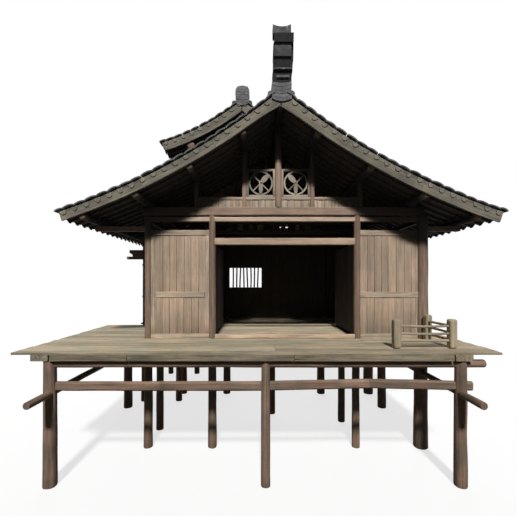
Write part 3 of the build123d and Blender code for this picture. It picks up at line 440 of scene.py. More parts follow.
EVEN = (.92, 1.08)         # tones of members that are much alike
SMOOTH = (.86, 1.12)       # streaks of planed timber
STILT_WOOD = wood("stilt_wood", (.225, .145, .102), (.165, .12, .085), streaks=(.7, 1.25), cracks=.5)
DECK_WOOD = wood("deck_wood", (.35, .285, .195), (.29, .265, .185), tones=(.8, 1.2))
FLOOR_WOOD = wood("floor_wood", (.50, .40, .27), (.42, .36, .255), tones=(.85, 1.15))
FASCIA_WOOD = wood("fascia_wood", (.24, .195, .13), (.18, .155, .11), streaks=(.5, 1.35), cracks=.9)
POST_WOOD = wood("post_wood", (.235, .155, .112), (.20, .145, .105), tones=EVEN)
BEAM_WOOD = wood("beam_wood", (.53, .40, .305), (.48, .36, .275), tones=EVEN, streaks=(.84, 1.14), cracks=.5)
TIE_WOOD = wood("tie_wood", (.335, .235, .175), (.29, .205, .155), tones=EVEN, streaks=(.8, 1.16), cracks=.6)
LINTEL_WOOD = wood("lintel_wood", (.48, .35, .245), (.43, .315, .225), tones=EVEN, streaks=SMOOTH, cracks=.5)
PANEL_WOOD = wood("panel_wood", (.425, .31, .22), (.375, .285, .205), tones=(.88, 1.1), streaks=SMOOTH,
                  cracks=.35, foot=.62)
RAIL_WOOD = wood("rail_wood", (.40, .31, .225), (.34, .28, .21), tones=(.92, 1.1), cracks=.5)
FRET_WOOD = wood("fret_wood", (.35, .295, .23), (.30, .26, .21), streaks=(.8, 1.2))
# Near-black door leaves: painted shade of the dark hall they stand in.
DOOR_PAINTED_SHADE_WOOD = wood("door_wood", (.03, .022, .018), (.022, .018, .015), painted_shade=1)
VERGE_WOOD = wood("verge_wood", (.225, .20, .153), (.17, .153, .122), tones=(.9, 1.1), streaks=(.66, 1.25))
SHED_WOOD = wood("annex_wood", (.24, .185, .14), (.19, .165, .135))
# Near-black woods for the roof boards, rafters, upper posts and door sockets: painted shade of the soffit and
# roof space.
PAINTED_SHADE_WOOD_Y = wood("purlin_painted_shade_wood", (.036, .028, .023), (.028, .023, .02), along="y")
PAINTED_SHADE_WOOD_X = wood("rafter_painted_shade_wood", (.036, .03, .025), (.03, .025, .022), along="x")
PAINTED_SHADE_WOOD_Z = wood("strut_painted_shade_wood", (.10, .075, .06), (.08, .065, .05), along="z")
BRACKET_WOOD = wood("bracket_wood", (.20, .14, .105), (.16, .12, .09), along="x")
ROOF_WOOD = wood("roof_wood", (.12, .09, .07), (.09, .07, .055))
FINIAL_CLAY = clay("finial_pale_clay", grey(.11), grey(.06), tones=(.6, 1.5), pale=grey(.3))
TILE_CLAY = clay("tile_clay", (.135, .135, .13), (.18, .178, .168), pale=(.28, .28, .27))
LIP_CLAY = clay("lip_clay", (.225, .20, .158), (.18, .165, .135), tones=(.9, 1.1))
RIDGE_CLAY = clay("ridge_clay", (.16, .16, .163), grey(.13), tones=(.85, 1.15), pale=grey(.26))
# Near-black clay for the finial pieces that stand for the shade under stacked tiles: painted shade.
PAINTED_SHADE_CLAY = clay("finial_painted_shade_clay", (.012, .012, .013), grey(.022), tones=(.6, 1.5))

shape = Shape()

# ---- logs under the floor
LOG_R, LOG_Z, LOG_ASIDE = .079, JOIST_Z[0] - .08, .155     # logs across, beside their stilts
SIDE_LOG_R, SIDE_LOG_Z = .066, 1.815


def stilts(node, places):
    for x, y, radius in places:
        log(shape, (x, y, 0), (x, y, JOIST_Z[0]), radius, taper=(1.11, 1), bow=.012, lumps=.045,
            sides=24, up=Y_AXIS, ends=FOOT_END, step=.2)
    shape.dress(node, "logs", STILT_WOOD)


stilts("deck_stilts", [(DECK_LEFT, 0, .114), (0, 0, .084), (DECK_RIGHT, 0, .108),
                       (DECK_LEFT - .07, DECK_REAR, .118), (DECK_RIGHT, DECK_REAR, .118)])
stilts("house_stilts", [
    (LEFT, FRONT, .095), (DOOR_LEFT, FRONT, .095), (DOOR_RIGHT - .03, FRONT, .086),
    (RIGHT - .04, FRONT, .145), (LEFT, 2.33, .09), (DOOR_RIGHT, 2.8, .088), (.28, 3.34, .092),
    (LEFT, REAR, .105), (DOOR_LEFT, REAR, .115), (DOOR_RIGHT - .12, REAR, .125), (RIGHT, REAR, .15),
    (ANNEX_LEFT, ANNEX_FRONT, .115), (LEFT, ANNEX_FRONT, .095),
    (ANNEX_LEFT, ANNEX_REAR, .095), (LEFT, ANNEX_REAR, .1)])

house_run, annex_run = between(LEFT, RIGHT, -.23), between(ANNEX_LEFT, LEFT, -.23)
for (x0, x1), y in (((DECK_LEFT + .08, 4.3), .03), (house_run, FRONT + LOG_ASIDE),
                    ((DECK_LEFT - .23, DECK_RIGHT + .23), DECK_REAR - LOG_ASIDE),
                    (house_run, REAR - LOG_ASIDE), (annex_run, ANNEX_FRONT + LOG_ASIDE),
                    (annex_run, ANNEX_REAR - LOG_ASIDE)):
    log(shape, (x0, y, LOG_Z), (x1, y, LOG_Z), LOG_R, bow=.006, lumps=.04)
shape.dress("cross_logs", "round", STILT_WOOD)

for x in (DECK_LEFT + .035, DECK_RIGHT - .035):
    log(shape, (x, -.68, SIDE_LOG_Z), (x, 3.96, SIDE_LOG_Z), SIDE_LOG_R, taper=(1, .95), bow=.012,
        lumps=.04, ends=SAWN_END)
shape.dress("side_logs", "round", STILT_WOOD)

rail = box("front_rail")
rail_y, rail_z = sum(rail.y) / 2, sum(rail.z) / 2
for a, b, rise in ((rail.x[0], 0, -.006), (0, rail.x[1], .045)):
    mid = Vector(((a + b) / 2, rail_y, rail_z + rise))
    for start, end in ((Vector((a, rail_y, rail_z)), mid), (mid, Vector((b, rail_y, rail_z)))):
        member(shape, start, end, rect(.10, .178, .03), step=.25, rough=.007, rate=1.2, tone=.5,
               ends=SQUARE_END)
shape.dress("front_rail", "log", STILT_WOOD)

# ---- deck
JOINTS = (LEFT, DOOR_LEFT, .2, DOOR_RIGHT, RIGHT)     # joists, on which the boards meet
BOARD = .2
RAGGED = .045                                         # how far the boards' outer ends differ


def floor_row(shape, x, y, ragged=0, joints=True):
    """One row of floorboards along X, in one to three lengths."""
    low = x[0] + RNG.uniform(0, ragged)
    high = x[1] - RNG.uniform(0, ragged)
    cuts = [j for j in JOINTS if low + 1 < j < high - 1] if joints else []
    cuts = sorted(RNG.sample(cuts, min(len(cuts), RNG.choice((0, 1, 1, 2)))))
    edges = [low] + cuts + [high]
    for a, b in zip(edges[:-1], edges[1:]):
        top = FLOOR - RNG.uniform(0, .005)
        timber(shape, (a, b - .004), between(*y, .003), (JOIST_Z[1], top), "x", chamfer=.005, rough=.004,
               step=.3)


for y in split(DECK.y[0], HOUSE.y[0], BOARD):
    floor_row(shape, DECK.x, y, ragged=RAGGED)
for y in split(HOUSE.y[0], DECK.y[1], BOARD):
    floor_row(shape, (DECK.x[0], HOUSE.x[0]), y, ragged=RAGGED, joints=False)
    floor_row(shape, (HOUSE.x[1], DECK.x[1] - RNG.uniform(0, RAGGED)), y, joints=False)
shape.dress("deck", "planks", DECK_WOOD)

for y in split(*HOUSE.y, BOARD):
    floor_row(shape, HOUSE.x, y)
shape.dress("house_floor", "planks", FLOOR_WOOD)

(left, right), (near, far), _ = box("annex_floor")
for run, end in (((HOUSE.y[1], far), right), ((near, HOUSE.y[1]), HOUSE.x[0])):
    for y in split(*run, BOARD):
        floor_row(shape, (left, end), y, joints=False)
shape.dress("annex_floor", "planks", DECK_WOOD)

EDGE_WIDTH = .34
for x in ((EDGES.x[0], EDGES.x[0] + EDGE_WIDTH), (EDGES.x[1] - EDGE_WIDTH, EDGES.x[1])):
    timber(shape, x, EDGES.y, JOIST_Z, "y", rough=.004)
shape.dress("edge_beams", "timber", FASCIA_WOOD)

(left, right), y, _ = box("front_beam")
for x in ((left, -2.662), (-2.658, .548), (.552, right)):      # three lengths, end to end
    timber(shape, x, y, JOIST_Z, "x", chamfer=.006, rough=.005)
shape.dress("front_beam", "timber", FASCIA_WOOD)

back, annex_back = REAR + .07, ANNEX_REAR + .07
for x, start, end in ((DOOR_LEFT, y[1], back), (.2, y[1], back), (DOOR_RIGHT, y[1], back),
                      (LEFT, y[1], annex_back), (RIGHT, EDGES.y[1], back),
                      (ANNEX_LEFT, ANNEX_FRONT - .07, annex_back)):
    timber(shape, around(x, .12), (start, end), JOIST_Z, "y", rough=.004)
shape.dress("floor_joists", "timber", FASCIA_WOOD)

# ---- railing
RAILING_X, RAILING_Y = (2.68, 3.82), (.28, 1.18)
RAIL_Z = (FLOOR + .15, FLOOR + .3, FLOOR + .45)


def rail_post(shape, x, y):
    member(shape, (x, y, FLOOR + .59), (x, y, FLOOR), rect(.145, .145, .016), up=Y_AXIS, ends=WORN_TOP,
           rough=.006, step=.12)


def rails(shape, start, end):
    for z in RAIL_Z:
        member(shape, (*start, z), (*end, z), rect(.05, .05, .012), rough=.008, bow=.02, step=.12)


for x in RAILING_X:
    rail_post(shape, x, RAILING_Y[0])
rails(shape, (RAILING_X[0], RAILING_Y[0]), (RAILING_X[1], RAILING_Y[0]))
shape.dress("front_railing", "timber", DECK_WOOD)

rail_post(shape, RAILING_X[1], RAILING_Y[1])
rails(shape, (RAILING_X[1], RAILING_Y[0] + .075), (RAILING_X[1], RAILING_Y[1]))
shape.dress("side_railing", "timber", DECK_WOOD)


# ---- posts and beams
def post(shape, x, y, low, high, radius):
    log(shape, (x, y, low), (x, y, high), radius, taper=(1.02, .98), bow=.004, lumps=.03, up=Y_AXIS,
        ends=POST_END, step=.2, sides=20)


for y, top, columns in ((FRONT, TIE_LOW, COLUMNS), (MIDDLE, TIE_LOW + MIDDLE_RISE, (LEFT, RIGHT)),
                        (REAR, TIE_LOW, COLUMNS)):
    for x in columns:
        post(shape, x, y, FLOOR, top, CORNER_R if (x, y) == (RIGHT, FRONT) else POST_R)
shape.dress("house_posts", "round", POST_WOOD)

TIE = .15                             # width of a tie beam
for y in (ANNEX_FRONT, ANNEX_REAR):
    post(shape, ANNEX_LEFT, y, FLOOR, EAVE_SEAT, POST_R)
    post(shape, LEFT, y, FLOOR, TIE_LOW, POST_R)
    timber(shape, around(LEFT, TIE), around(y, TIE), (TIE_LOW, TIE_TOP), "z")
shape.dress("annex_posts", "round", POST_WOOD)

whole = box("tie_beams").x
for x, y, rise in ((whole, FRONT, 0), (whole, REAR, 0), ((-2.55, RIGHT - .3), MIDDLE, MIDDLE_RISE)):
    timber(shape, x, around(y, TIE), (TIE_LOW + rise, TIE_TOP + rise), "x", chamfer=.015, rough=.006,
           tone=.5)
shape.dress("tie_beams", "timber", TIE_WOOD)

for y in (FRONT, MIDDLE, REAR):
    for a, b in [(LEFT, RIGHT)] if y == MIDDLE else BAYS:
        timber(shape, between(a, b, .05), around(y, .105), BEAM_Z, "x", chamfer=.01, rough=.004)
for x in (LEFT, RIGHT):
    timber(shape, around(x, .105), between(FRONT, REAR, .05), BEAM_Z, "y", chamfer=.01, rough=.004)
shape.dress("lower_beams", "timber", BEAM_WOOD)

timber(shape, LINTEL.x, around(FRONT, .108), LINTEL.z, "x", chamfer=.01, rough=.004, tone=.5)
shape.dress("door_lintel", "timber", LINTEL_WOOD)
x, _, (low, high) = box("door_sill")
timber(shape, x, around(FRONT, .11), (low, high - .004), "x", chamfer=.012, rough=.014, tone=.8, step=.12)
shape.dress("door_sill", "timber", LINTEL_WOOD)

# ---- walls
LOW_PANEL, HIGH_PANEL = LEVELS = ((FLOOR + .10, BELT_LOW + .01), (BELT_LOW + .13, WALL_TOP - .12))

for run in (between(LEFT, DOOR_LEFT, .16), (DOOR_RIGHT + .06, RIGHT - .10)):
    for z in LEVELS:
        planks(shape, run, FRONT, z)
shape.dress("front_wall", "planks", PANEL_WOOD)

SIDE_BAYS = [(LEFT, FRONT, MIDDLE), (LEFT, MIDDLE, ANNEX_FRONT), (RIGHT, FRONT, MIDDLE),
             (RIGHT, MIDDLE, REAR)]
for x, a, b in SIDE_BAYS:
    for z in LEVELS:
        planks(shape, between(a, b), x, z, facing="x", inside=-1 if x > 0 else 1)
shape.dress("side_walls", "planks", PANEL_WOOD)

WINDOW_X, WINDOW_Z = (-1.15, -.01), (FLOOR + 1.175, FLOOR + 1.87)
TOP_LEVEL = (WALL_TOP - .01, BEAM_Z[0] + .01)
for a, b in BAYS:
    for z in (TOP_LEVEL, LOW_PANEL) if a == DOOR_LEFT else (TOP_LEVEL, *LEVELS):
        planks(shape, between(a, b), REAR, z, inside=-1)
planks_round(shape, between(DOOR_LEFT, DOOR_RIGHT), REAR, HIGH_PANEL, WINDOW_X, WINDOW_Z, first=.1,
             inside=-1)
for x in WINDOW_X:
    for z in ((HIGH_PANEL[0], WINDOW_Z[0]), (WINDOW_Z[1], HIGH_PANEL[1])):
        timber(shape, around(x, .06), around(REAR - .03, .02), z, "z", chamfer=.003, rough=.001)
shape.dress("rear_wall", "planks", PANEL_WOOD)


def rail_set(shape, run, line, facing="y", belt=0):
    """Bottom, belt and top rail of a wall. Belt is how much shorter that rail is at each end."""
    for low, high, cut in ((FLOOR, FLOOR + .11, 0), (BELT_LOW, BELT_LOW + .14, belt),
                           (WALL_TOP - .131, WALL_TOP, 0)):
        x, y = oriented(facing, between(*run, cut), around(line, .066))
        timber(shape, x, y, (low, high), "x" if facing == "y" else "y", chamfer=.006)


rail_set(shape, between(LEFT, DOOR_LEFT), FRONT, belt=.12)
rail_set(shape, (DOOR_RIGHT + .06, RIGHT - .10), FRONT)
for x, width, tone in ((LEFT + .12, .1, .8), (DOOR_LEFT - .12, .1, .6), (RIGHT - .155, .045, .9)):
    timber(shape, around(x, width), around(FRONT, .058), (FLOOR + .108, WALL_TOP - .129), "z",
           tone=tone)
rail_set(shape, between(LEFT, RIGHT), REAR)
for x, a, b in SIDE_BAYS:
    rail_set(shape, between(a, b), x, "x")
shape.dress("wall_rails", "timber", RAIL_WOOD)
window_bars("rear_window_bars", 8, lambda x, z: (x, REAR, z), WINDOW_X, WINDOW_Z, rect(.05, .034, .008),
            bow=.012, step=.1, lean=.016)

# ---- annex
ANNEX_Z = (FLOOR, box("annex_walls").z[1])
SIDE_WINDOW_Y, SIDE_WINDOW_Z = (4.62, 5.8), (FLOOR + .905, FLOOR + 1.92)
for y in (ANNEX_FRONT, ANNEX_REAR):
    planks(shape, between(ANNEX_LEFT, LEFT), y, ANNEX_Z)
planks(shape, between(REAR, ANNEX_REAR), LEFT, ANNEX_Z, facing="x")
planks_round(shape, between(ANNEX_FRONT, ANNEX_REAR), ANNEX_LEFT, ANNEX_Z, SIDE_WINDOW_Y, SIDE_WINDOW_Z,
             facing="x")
shape.dress("annex_walls", "planks", SHED_WOOD)
window_bars("annex_window_bars", 9, lambda y, z: (ANNEX_LEFT, y, z), SIDE_WINDOW_Y, SIDE_WINDOW_Z,
            rect(.036, .036, .008), bow=.01, step=.12)

x, y, (low, high) = box("annex_window_boards")
for z in (low, high - .06):
    timber(shape, x, y, (z, z + .06), "y", rough=.004)
shape.make("annex_window_sills", SHED_WOOD, "wall_planks", replaces=["annex_window_boards"])


# ---- doors
HINGE = 1.73             # from the middle of the doorway


def door(side, name, body):
    """Upright planks, a stile at the free end, ledges on the wall side, and two pivots."""
    x = (DOOR_LEFT + DOOR_RIGHT) / 2 + side * HINGE
    y0, y1 = FRONT + .12, box(name).y[1]
    z = (FLOOR + .072, LINTEL.z[0] + .05)
    for low, high in split(y0 - .02, y1, .29, .12):
        timber(shape, around(x + wobble(.002), .036), between(low, high, .002), z, "z", rough=.002)
    timber(shape, around(x - side * .03, .025), (y1 - .065, y1 - .003), z, "z", chamfer=.004, rough=.001,
           tone=1)
    for low in (z[0] + .25, z[1] - .36):
        timber(shape, around(x + side * .034, .028), between(y0, y1), (low, low + .11), "y")
    for low, high in ((FLOOR, FLOOR + .1), (z[1] - .03, z[1] + .07)):
        member(shape, (x, y0, low), (x, y0, high), circle(.02, 12), up=Y_AXIS, rough=.001)
    shape.dress(name, "planks", DOOR_PAINTED_SHADE_WOOD, body=body, angle=35)


door(-1, "door_leaf_left", "left_leaf")
door(1, "door_leaf_right", "right_leaf")


# ---- roof slopes
class Slope:
    """One side of a roof, measured down the slope from the ridge."""

    def __init__(self, node, pitch, low_pitch, side):
        x, self.y, (_, self.ridge_z) = box(node)
        self.node, self.side = node, side
        self.ridge_x = x[side < 0]
        self.top, low = radians(pitch), radians(low_pitch)
        self.radius = (x[1] - x[0]) / (sin(self.top) - sin(low))
        self.length = self.radius * (self.top - low)

    def angle(self, s):
        return self.top - s / self.radius

    def at(self, s, y, w=0):
        """Point at a distance down the slope and a height above it."""
        angle = self.angle(s)
        u = self.radius * (sin(self.top) - sin(angle))
        drop = self.radius * (cos(angle) - cos(self.top))
        return Vector((self.ridge_x + self.side * u, y, self.ridge_z - drop)) + self.normal(s) * w

    def down(self, s):
        return Vector((self.side * cos(self.angle(s)), 0, -sin(self.angle(s))))

    def normal(self, s):
        return Vector((self.side * sin(self.angle(s)), 0, cos(self.angle(s))))

    def station(self, across):
        """Distance down the slope of a place measured across from the ridge."""
        return self.radius * (self.top - asin(sin(self.top) - across / self.radius))


MAIN = MAIN_L, MAIN_R = Slope("main_roof_left", 39, 18.5, -1), Slope("main_roof_right", 39, 18.5, 1)
UPPER = UPPER_L, UPPER_R = Slope("upper_roof_left", 39, 17, -1), Slope("upper_roof_right", 39, 17, 1)
COLUMN = .29             # between tile columns
SHOWN = .15              # length of each tile left uncovered
TILE = .235              # length of a tile
PAN_RISE = .052
PAN_SHARE = .93          # a pan's width, as a share of its column
LANE = .26               # width of the tiles laid across a verge


def arc(chord, rise):
    """Seven points of an arc over a chord, as (across, height)."""
    radius = (chord * chord / 4 + rise * rise) / (2 * rise)
    half = asin(min(1, chord / 2 / radius))
    if rise > chord / 2:
        half = pi - half
    turns = [half * (2 * i / 6 - 1) for i in range(7)]
    return [(radius * sin(t), radius * (cos(t) - cos(half))) for t in turns]


def tile(shape, origin, along, up, length, chord, rise, thick=.014, hollow=1, jitter=.004, lift=0):
    """A curved tile that starts at origin. Hollow is -1 for a pan, 1 for a cover, 0 for a solid one."""
    turn = RNG.gauss(0, jitter * 4)
    along = (along + up.cross(along).normalized() * turn).normalized()
    across = up.cross(along).normalized()
    up = along.cross(across)
    shift = across * RNG.gauss(0, jitter) + along * RNG.gauss(0, jitter * 1.5)
    shift += up * RNG.gauss(0, jitter * .5)
    inner = arc(chord, rise)
    if hollow < 0:
        inner = [(a, rise - b) for a, b in inner]
    outer = [(a, b + thick) for a, b in inner]
    ring = outer[::-1] + inner if hollow else outer
    seed = random_point()
    pairs = []
    for t in (0, 1):
        base = origin + shift + along * (length * t) + up * (lift * t)
        pairs += [(base + across * a + up * b, (length * t, a, b)) for a, b in ring]
    n = len(ring)
    faces = [(j, (j + 1) % n, (j + 1) % n + n, j + n) for j in range(n)]
    for j in range(n // 2 - 1):
        faces.append((j + 1, j, n - 1 - j, n - 2 - j))
        faces.append((n + j, n + j + 1, 2 * n - 2 - j, 2 * n - 1 - j))
    shape.add(pairs, faces, seed, RNG.random())


def plate(shape, origin, right, down, outward, top, bottom, thick=.012):
    """A thin plate between an upper and a lower line of (across, down) points."""
    seed = random_point()
    n = len(top)
    pairs = [(origin + right * a + down * b + outward * depth, (a, b, depth))
             for depth in (0, thick) for a, b in top + bottom]
    faces = []
    for j in range(n - 1):
        faces.append((j, j + 1, n + j + 1, n + j))
        faces.append((2 * n + j + 1, 2 * n + j, 3 * n + j, 3 * n + j + 1))
    loop = list(range(n)) + list(range(2 * n - 1, n - 1, -1))
    for a, b in zip(loop, loop[1:] + loop[:1]):
        faces.append((b, a, a + 2 * n, b + 2 * n))
    shape.add(pairs, faces, seed, RNG.random())


def tile_columns(low, high):
    """How many columns of tiles fill a run, and their pitch."""
    count = max(1, round((high - low) / COLUMN))
    return count, (high - low) / count


def in_upper_storey(x, y):
    return UPPER_X[0] - .12 < x < UPPER_X[1] + .12 and UPPER_Y[0] - .1 < y < UPPER_Y[1] + .1


def field(shape, slope, y, top=0):
    """Pan and cover tiles over a rectangle of the slope. The main roof leaves out the upper storey."""
    low, high = y
    count, pitch = tile_columns(low, high)
    end = slope.length
    rows = int((end - top) / SHOWN)
    cover, pan = (0, 0, -.062, .165, .048, 1), (.5, .4, -.1, pitch * PAN_SHARE, PAN_RISE, -1)
    for column in range(count + 1):
        for offset, margin, base, chord, rise, hollow in (pan, cover):
            place = low + (column + offset) * pitch
            if place > high - margin * pitch + .01:
                continue
            for row in range(rows, -1, -1):
                start = end - (rows - row) * SHOWN - TILE + .02
                mid = start + TILE / 2
                if start < top - .06 or slope in MAIN and in_upper_storey(slope.at(mid, place).x, place):
                    continue
                tile(shape, slope.at(start, place, base), slope.down(mid), slope.normal(mid), TILE,
                     chord, rise, hollow=hollow, lift=.022)


def curve_slab(shape, slope, s, y, w, steps=10, tone=.5):
    """A slab that follows the slope, between distances, places along the ridge and heights."""
    seed = random_point()
    corners = [(y[0], w[0]), (y[1], w[0]), (y[1], w[1]), (y[0], w[1])][::slope.side]
    stations = [s[0] + (s[1] - s[0]) * i / steps for i in range(steps + 1)]
    shape.loft([[(slope.at(at, a, b), (at, a, b)) for a, b in corners] for at in stations], seed, tone)


def droop(a, half, power):
    """1 in the middle of a hanging edge and 0 at its ends."""
    return max(0, 1 - (a / half) ** 2) ** power


def eave_row(shape, slope, y):
    """Drip plates under the lowest pans and caps on the lowest covers."""
    low, high = y
    count, pitch = tile_columns(low, high)
    s = slope.length + .005
    for column in range(count + 1):
        place = low + (column + .5) * pitch
        if place < high:
            curve = [(a, .023 + h) for a, h in arc(pitch * PAN_SHARE, PAN_RISE)]
            lower = [(a * .93, b + .115 * droop(a, pitch * PAN_SHARE / 2, .7)) for a, b in curve]
            plate(shape, slope.at(s, place, 0), Y_AXIS, -slope.normal(s), slope.down(s), curve, lower)
        cover = low + column * pitch
        if cover <= high + .01:
            tile(shape, slope.at(s - .02, cover, -.035), slope.down(s), slope.normal(s), .03, .15, .045,
                 thick=.022)


lips, covers = Shape(), Shape()        # shared by all the verges


def verge_row(shape, slope, y, s_end=None, s_start=.2):
    """Short tiles across the verge: pans with hanging lips, and low covers between them."""
    end = s_end or slope.length
    step = .26
    towards = 1 if y[1] > y[0] else -1
    along, lane = Y_AXIS * towards, abs(y[1] - y[0])
    curve_slab(shape, slope, (s_start - .2, end - .01), sorted((y[0] + towards * .057, y[1])), (-.12, -.02))
    for i in range(int((end - s_start) / step) + 1):
        s = end - .13 - i * step
        up, down = slope.normal(s), slope.down(s)
        tile(shape, slope.at(s, y[0] + towards * .04, -.072), along, up, lane - .04, .225, .042, hollow=-1,
             jitter=.003)
        half, drop = RNG.uniform(.062, .074), RNG.uniform(.078, .095)
        across = [half * (2 * j / 8 - 1) for j in range(9)]
        plate(lips, slope.at(s, y[0] + towards * .0148, 0), down, -up, -along, [(a, .03) for a in across],
              [(a, .034 + drop * droop(a, half, .5)) for a in across], thick=.015)
        top = s + step / 2 if i else s + step / 2 - .06
        tile(covers, slope.at(top, y[0] - towards * .016, wobble(.004)), along, up, lane + .016,
             .255 if i else .2, RNG.uniform(.017, .027), thick=.027)


def roof_boards(shape, slope, blocks):
    """Boards under the tiles, as blocks of distances down the slope and places along the ridge."""
    for s, y in blocks:
        for run in split(*s, .16, .1):
            curve_slab(shape, slope, between(*run, .002), y, (-.128, -.108), 1, tone=RNG.random())
        curve_slab(shape, slope, s, between(*y, .01), (-.11, -.102), tone=.2)


for slope in (*MAIN, *UPPER):
    y0, y1 = slope.y
    field(shape, slope, between(y0, y1, LANE))
    verge_row(shape, slope, (y0, y0 + LANE))
    verge_row(shape, slope, (y1, y1 - LANE), s_end=slope.station(ANNEX_SPLIT) if slope is MAIN_L else None)
    eave_row(shape, slope, between(y0, y1, LANE))
    shape.dress(slope.node, "tiles", TILE_CLAY, angle=35)
    y, high, low = between(y0, y1, .055), .02, slope.length - .03
    blocks = [((high, low), y)]
    if slope in MAIN:
        edge = slope.station(abs(UPPER_X[slope.side > 0] - RIDGE_X))
        blocks = [((high, edge), (y[0], UPPER_Y[0])), ((high, edge), (UPPER_Y[1], y[1])), ((edge, low), y)]
    roof_boards(shape, slope, blocks)
    shape.make(slope.node + "_boards", PAINTED_SHADE_WOOD_Y, "rafters")

near, far = box("annex_roof").y
run = (near - .25, far - LANE)
top = MAIN_L.station(ANNEX_SPLIT)
field(shape, MAIN_L, run, top)
verge_row(shape, MAIN_L, (far, far - LANE), s_start=top + .1)
eave_row(shape, MAIN_L, run)
shape.dress("annex_roof", "tiles", TILE_CLAY, angle=35)
roof_boards(shape, MAIN_L, [((top, MAIN_L.length - .03), (near - .055, far - .04))])
shape.make("annex_roof_boards", PAINTED_SHADE_WOOD_Y, "rafters")
lips.make("verge_tile_lips", LIP_CLAY, "roof_tiles", angle=50)
covers.make("verge_cover_tiles", RIDGE_CLAY, "roof_tiles", angle=35)


# ---- verge boards
def verge(shape, slope, y, end=None, depth=.245, apex_drop=0):
    """A verge board in lengths of about two metres, cut square at the eave."""
    for low, high in split(0, slope.station(end) if end else slope.length - .03, 1.9, .1):
        seed, tone = random_point(), RNG.random()
        rings = []
        steps = 8
        for i in range(steps + 1):
            s = low + (.0015 if low else 0) + (high - low - .003) * i / steps
            wave = noise.noise(Vector((s * 1.7, 0, 0)) + seed) * .006
            foot = -.025 - depth * .93 + wave - apex_drop * max(0, 1 - s / .9) ** 2
            lean = 0 if i or low else (depth * .93 + apex_drop) * tan(slope.top)
            corners = [(y, -.027, 0), (y + .04, -.027, 0), (y + .04, foot, lean), (y, foot, lean)]
            rings.append([(slope.at(s + k, a, b), (s, a, b)) for a, b, k in corners[::-slope.side]])
        shape.loft(rings, seed, tone)


for (left, right), depth, left_drop, right_drop, rear_end in (
        (MAIN, .205, .1, .07, ANNEX_SPLIT), (UPPER, .245, 0, 0, None)):
    verge(shape, left, left.y[0] + .015, depth=depth, apex_drop=left_drop)
    verge(shape, right, left.y[0] + .015, apex_drop=right_drop)
    verge(shape, left, left.y[1] - .055, end=rear_end)
    verge(shape, right, right.y[1] - .055)
shape.dress("verge_boards", "wood", VERGE_WOOD)


# ---- purlins and posts under the roof
def under(slope, across, radius=0):
    """Middle of a purlin at a distance across from the ridge, under the rafters."""
    s = slope.station(across)
    point = slope.at(s, 0)
    rafter = .12 if slope in UPPER else .06
    return point.x, point.z - .1304 - rafter - radius / cos(slope.angle(s))


def purlin(shape, slope, across, radius, y, tone=None):
    x, z = under(slope, across, radius)
    log(shape, (x, y[0], z), (x, y[1], z), radius * .985, bow=.01, lumps=.03, sides=16, tone=tone)


run = between(*MAIN_R.y)
long_run = (run[0], 8)
for slope, across, radius, y in (
        (MAIN_R, 0, PURLIN_R, run), *[(slope, across, PURLIN_R, run) for slope in MAIN for across in PURLINS],
        (MAIN_R, WALL_PURLIN, .081, run), (MAIN_R, EAVE_PURLIN, PURLIN_R, run),
        (MAIN_L, WALL_PURLIN, .081, long_run), (MAIN_L, EAVE_PURLIN, PURLIN_R, long_run)):
    purlin(shape, slope, across, radius, y)
shape.dress("purlins", "round", ROOF_WOOD)

run = between(*UPPER_R.y)
purlin(shape, UPPER_R, 0, PURLIN_R, run)
for slope in UPPER:
    purlin(shape, slope, UPPER_PURLIN, UPPER_PURLIN_R, run, tone=.2)
shape.dress("upper_purlins", "round", POST_WOOD)

for y, seat in ((FRONT, TIE_TOP), (MIDDLE, TIE_TOP + MIDDLE_RISE), (REAR, TIE_TOP)):
    post(shape, RIDGE_X, y, seat, under(MAIN_R, 0, PURLIN_R)[1], .082)
    for slope in MAIN:
        for across in PURLINS:
            x, z = under(slope, across, PURLIN_R)
            post(shape, x, y, seat, z, .057)
shape.dress("gable_posts", "round", TIE_WOOD)

# ---- gable
GABLE_X = around(RIDGE_X, 2 * PURLINS[1])
SILL_TOP = TIE_TOP + .25               # top of the gable's rail, which carries the fretwork
planks(shape, GABLE_X, FRONT, (TIE_TOP, TIE_TOP + .185), width=.17)
shape.dress("gable_boards", "planks", RAIL_WOOD)
timber(shape, GABLE_X, around(FRONT, .068), (TIE_TOP + .18, SILL_TOP), "x", rough=.004, tone=.8)
shape.dress("gable_rail", "timber", RAIL_WOOD)


def arm_at(turn):
    """Direction at an angle in the plane of the gable."""
    return Vector((cos(turn), 0, sin(turn)))


def hoop(shape, centre, outer, width, depth, count=40):
    """A flat ring in an upright plane."""
    seed = random_point()
    corners = [(outer, -depth), (outer, depth), (outer - width, depth), (outer - width, -depth)]
    turns = [2 * pi * i / count for i in range(count + 1)]
    shape.loft([[(centre + arm_at(turn) * r + Y_AXIS * y, (turn * outer, r, y)) for r, y in corners]
                for turn in turns], seed, RNG.random())


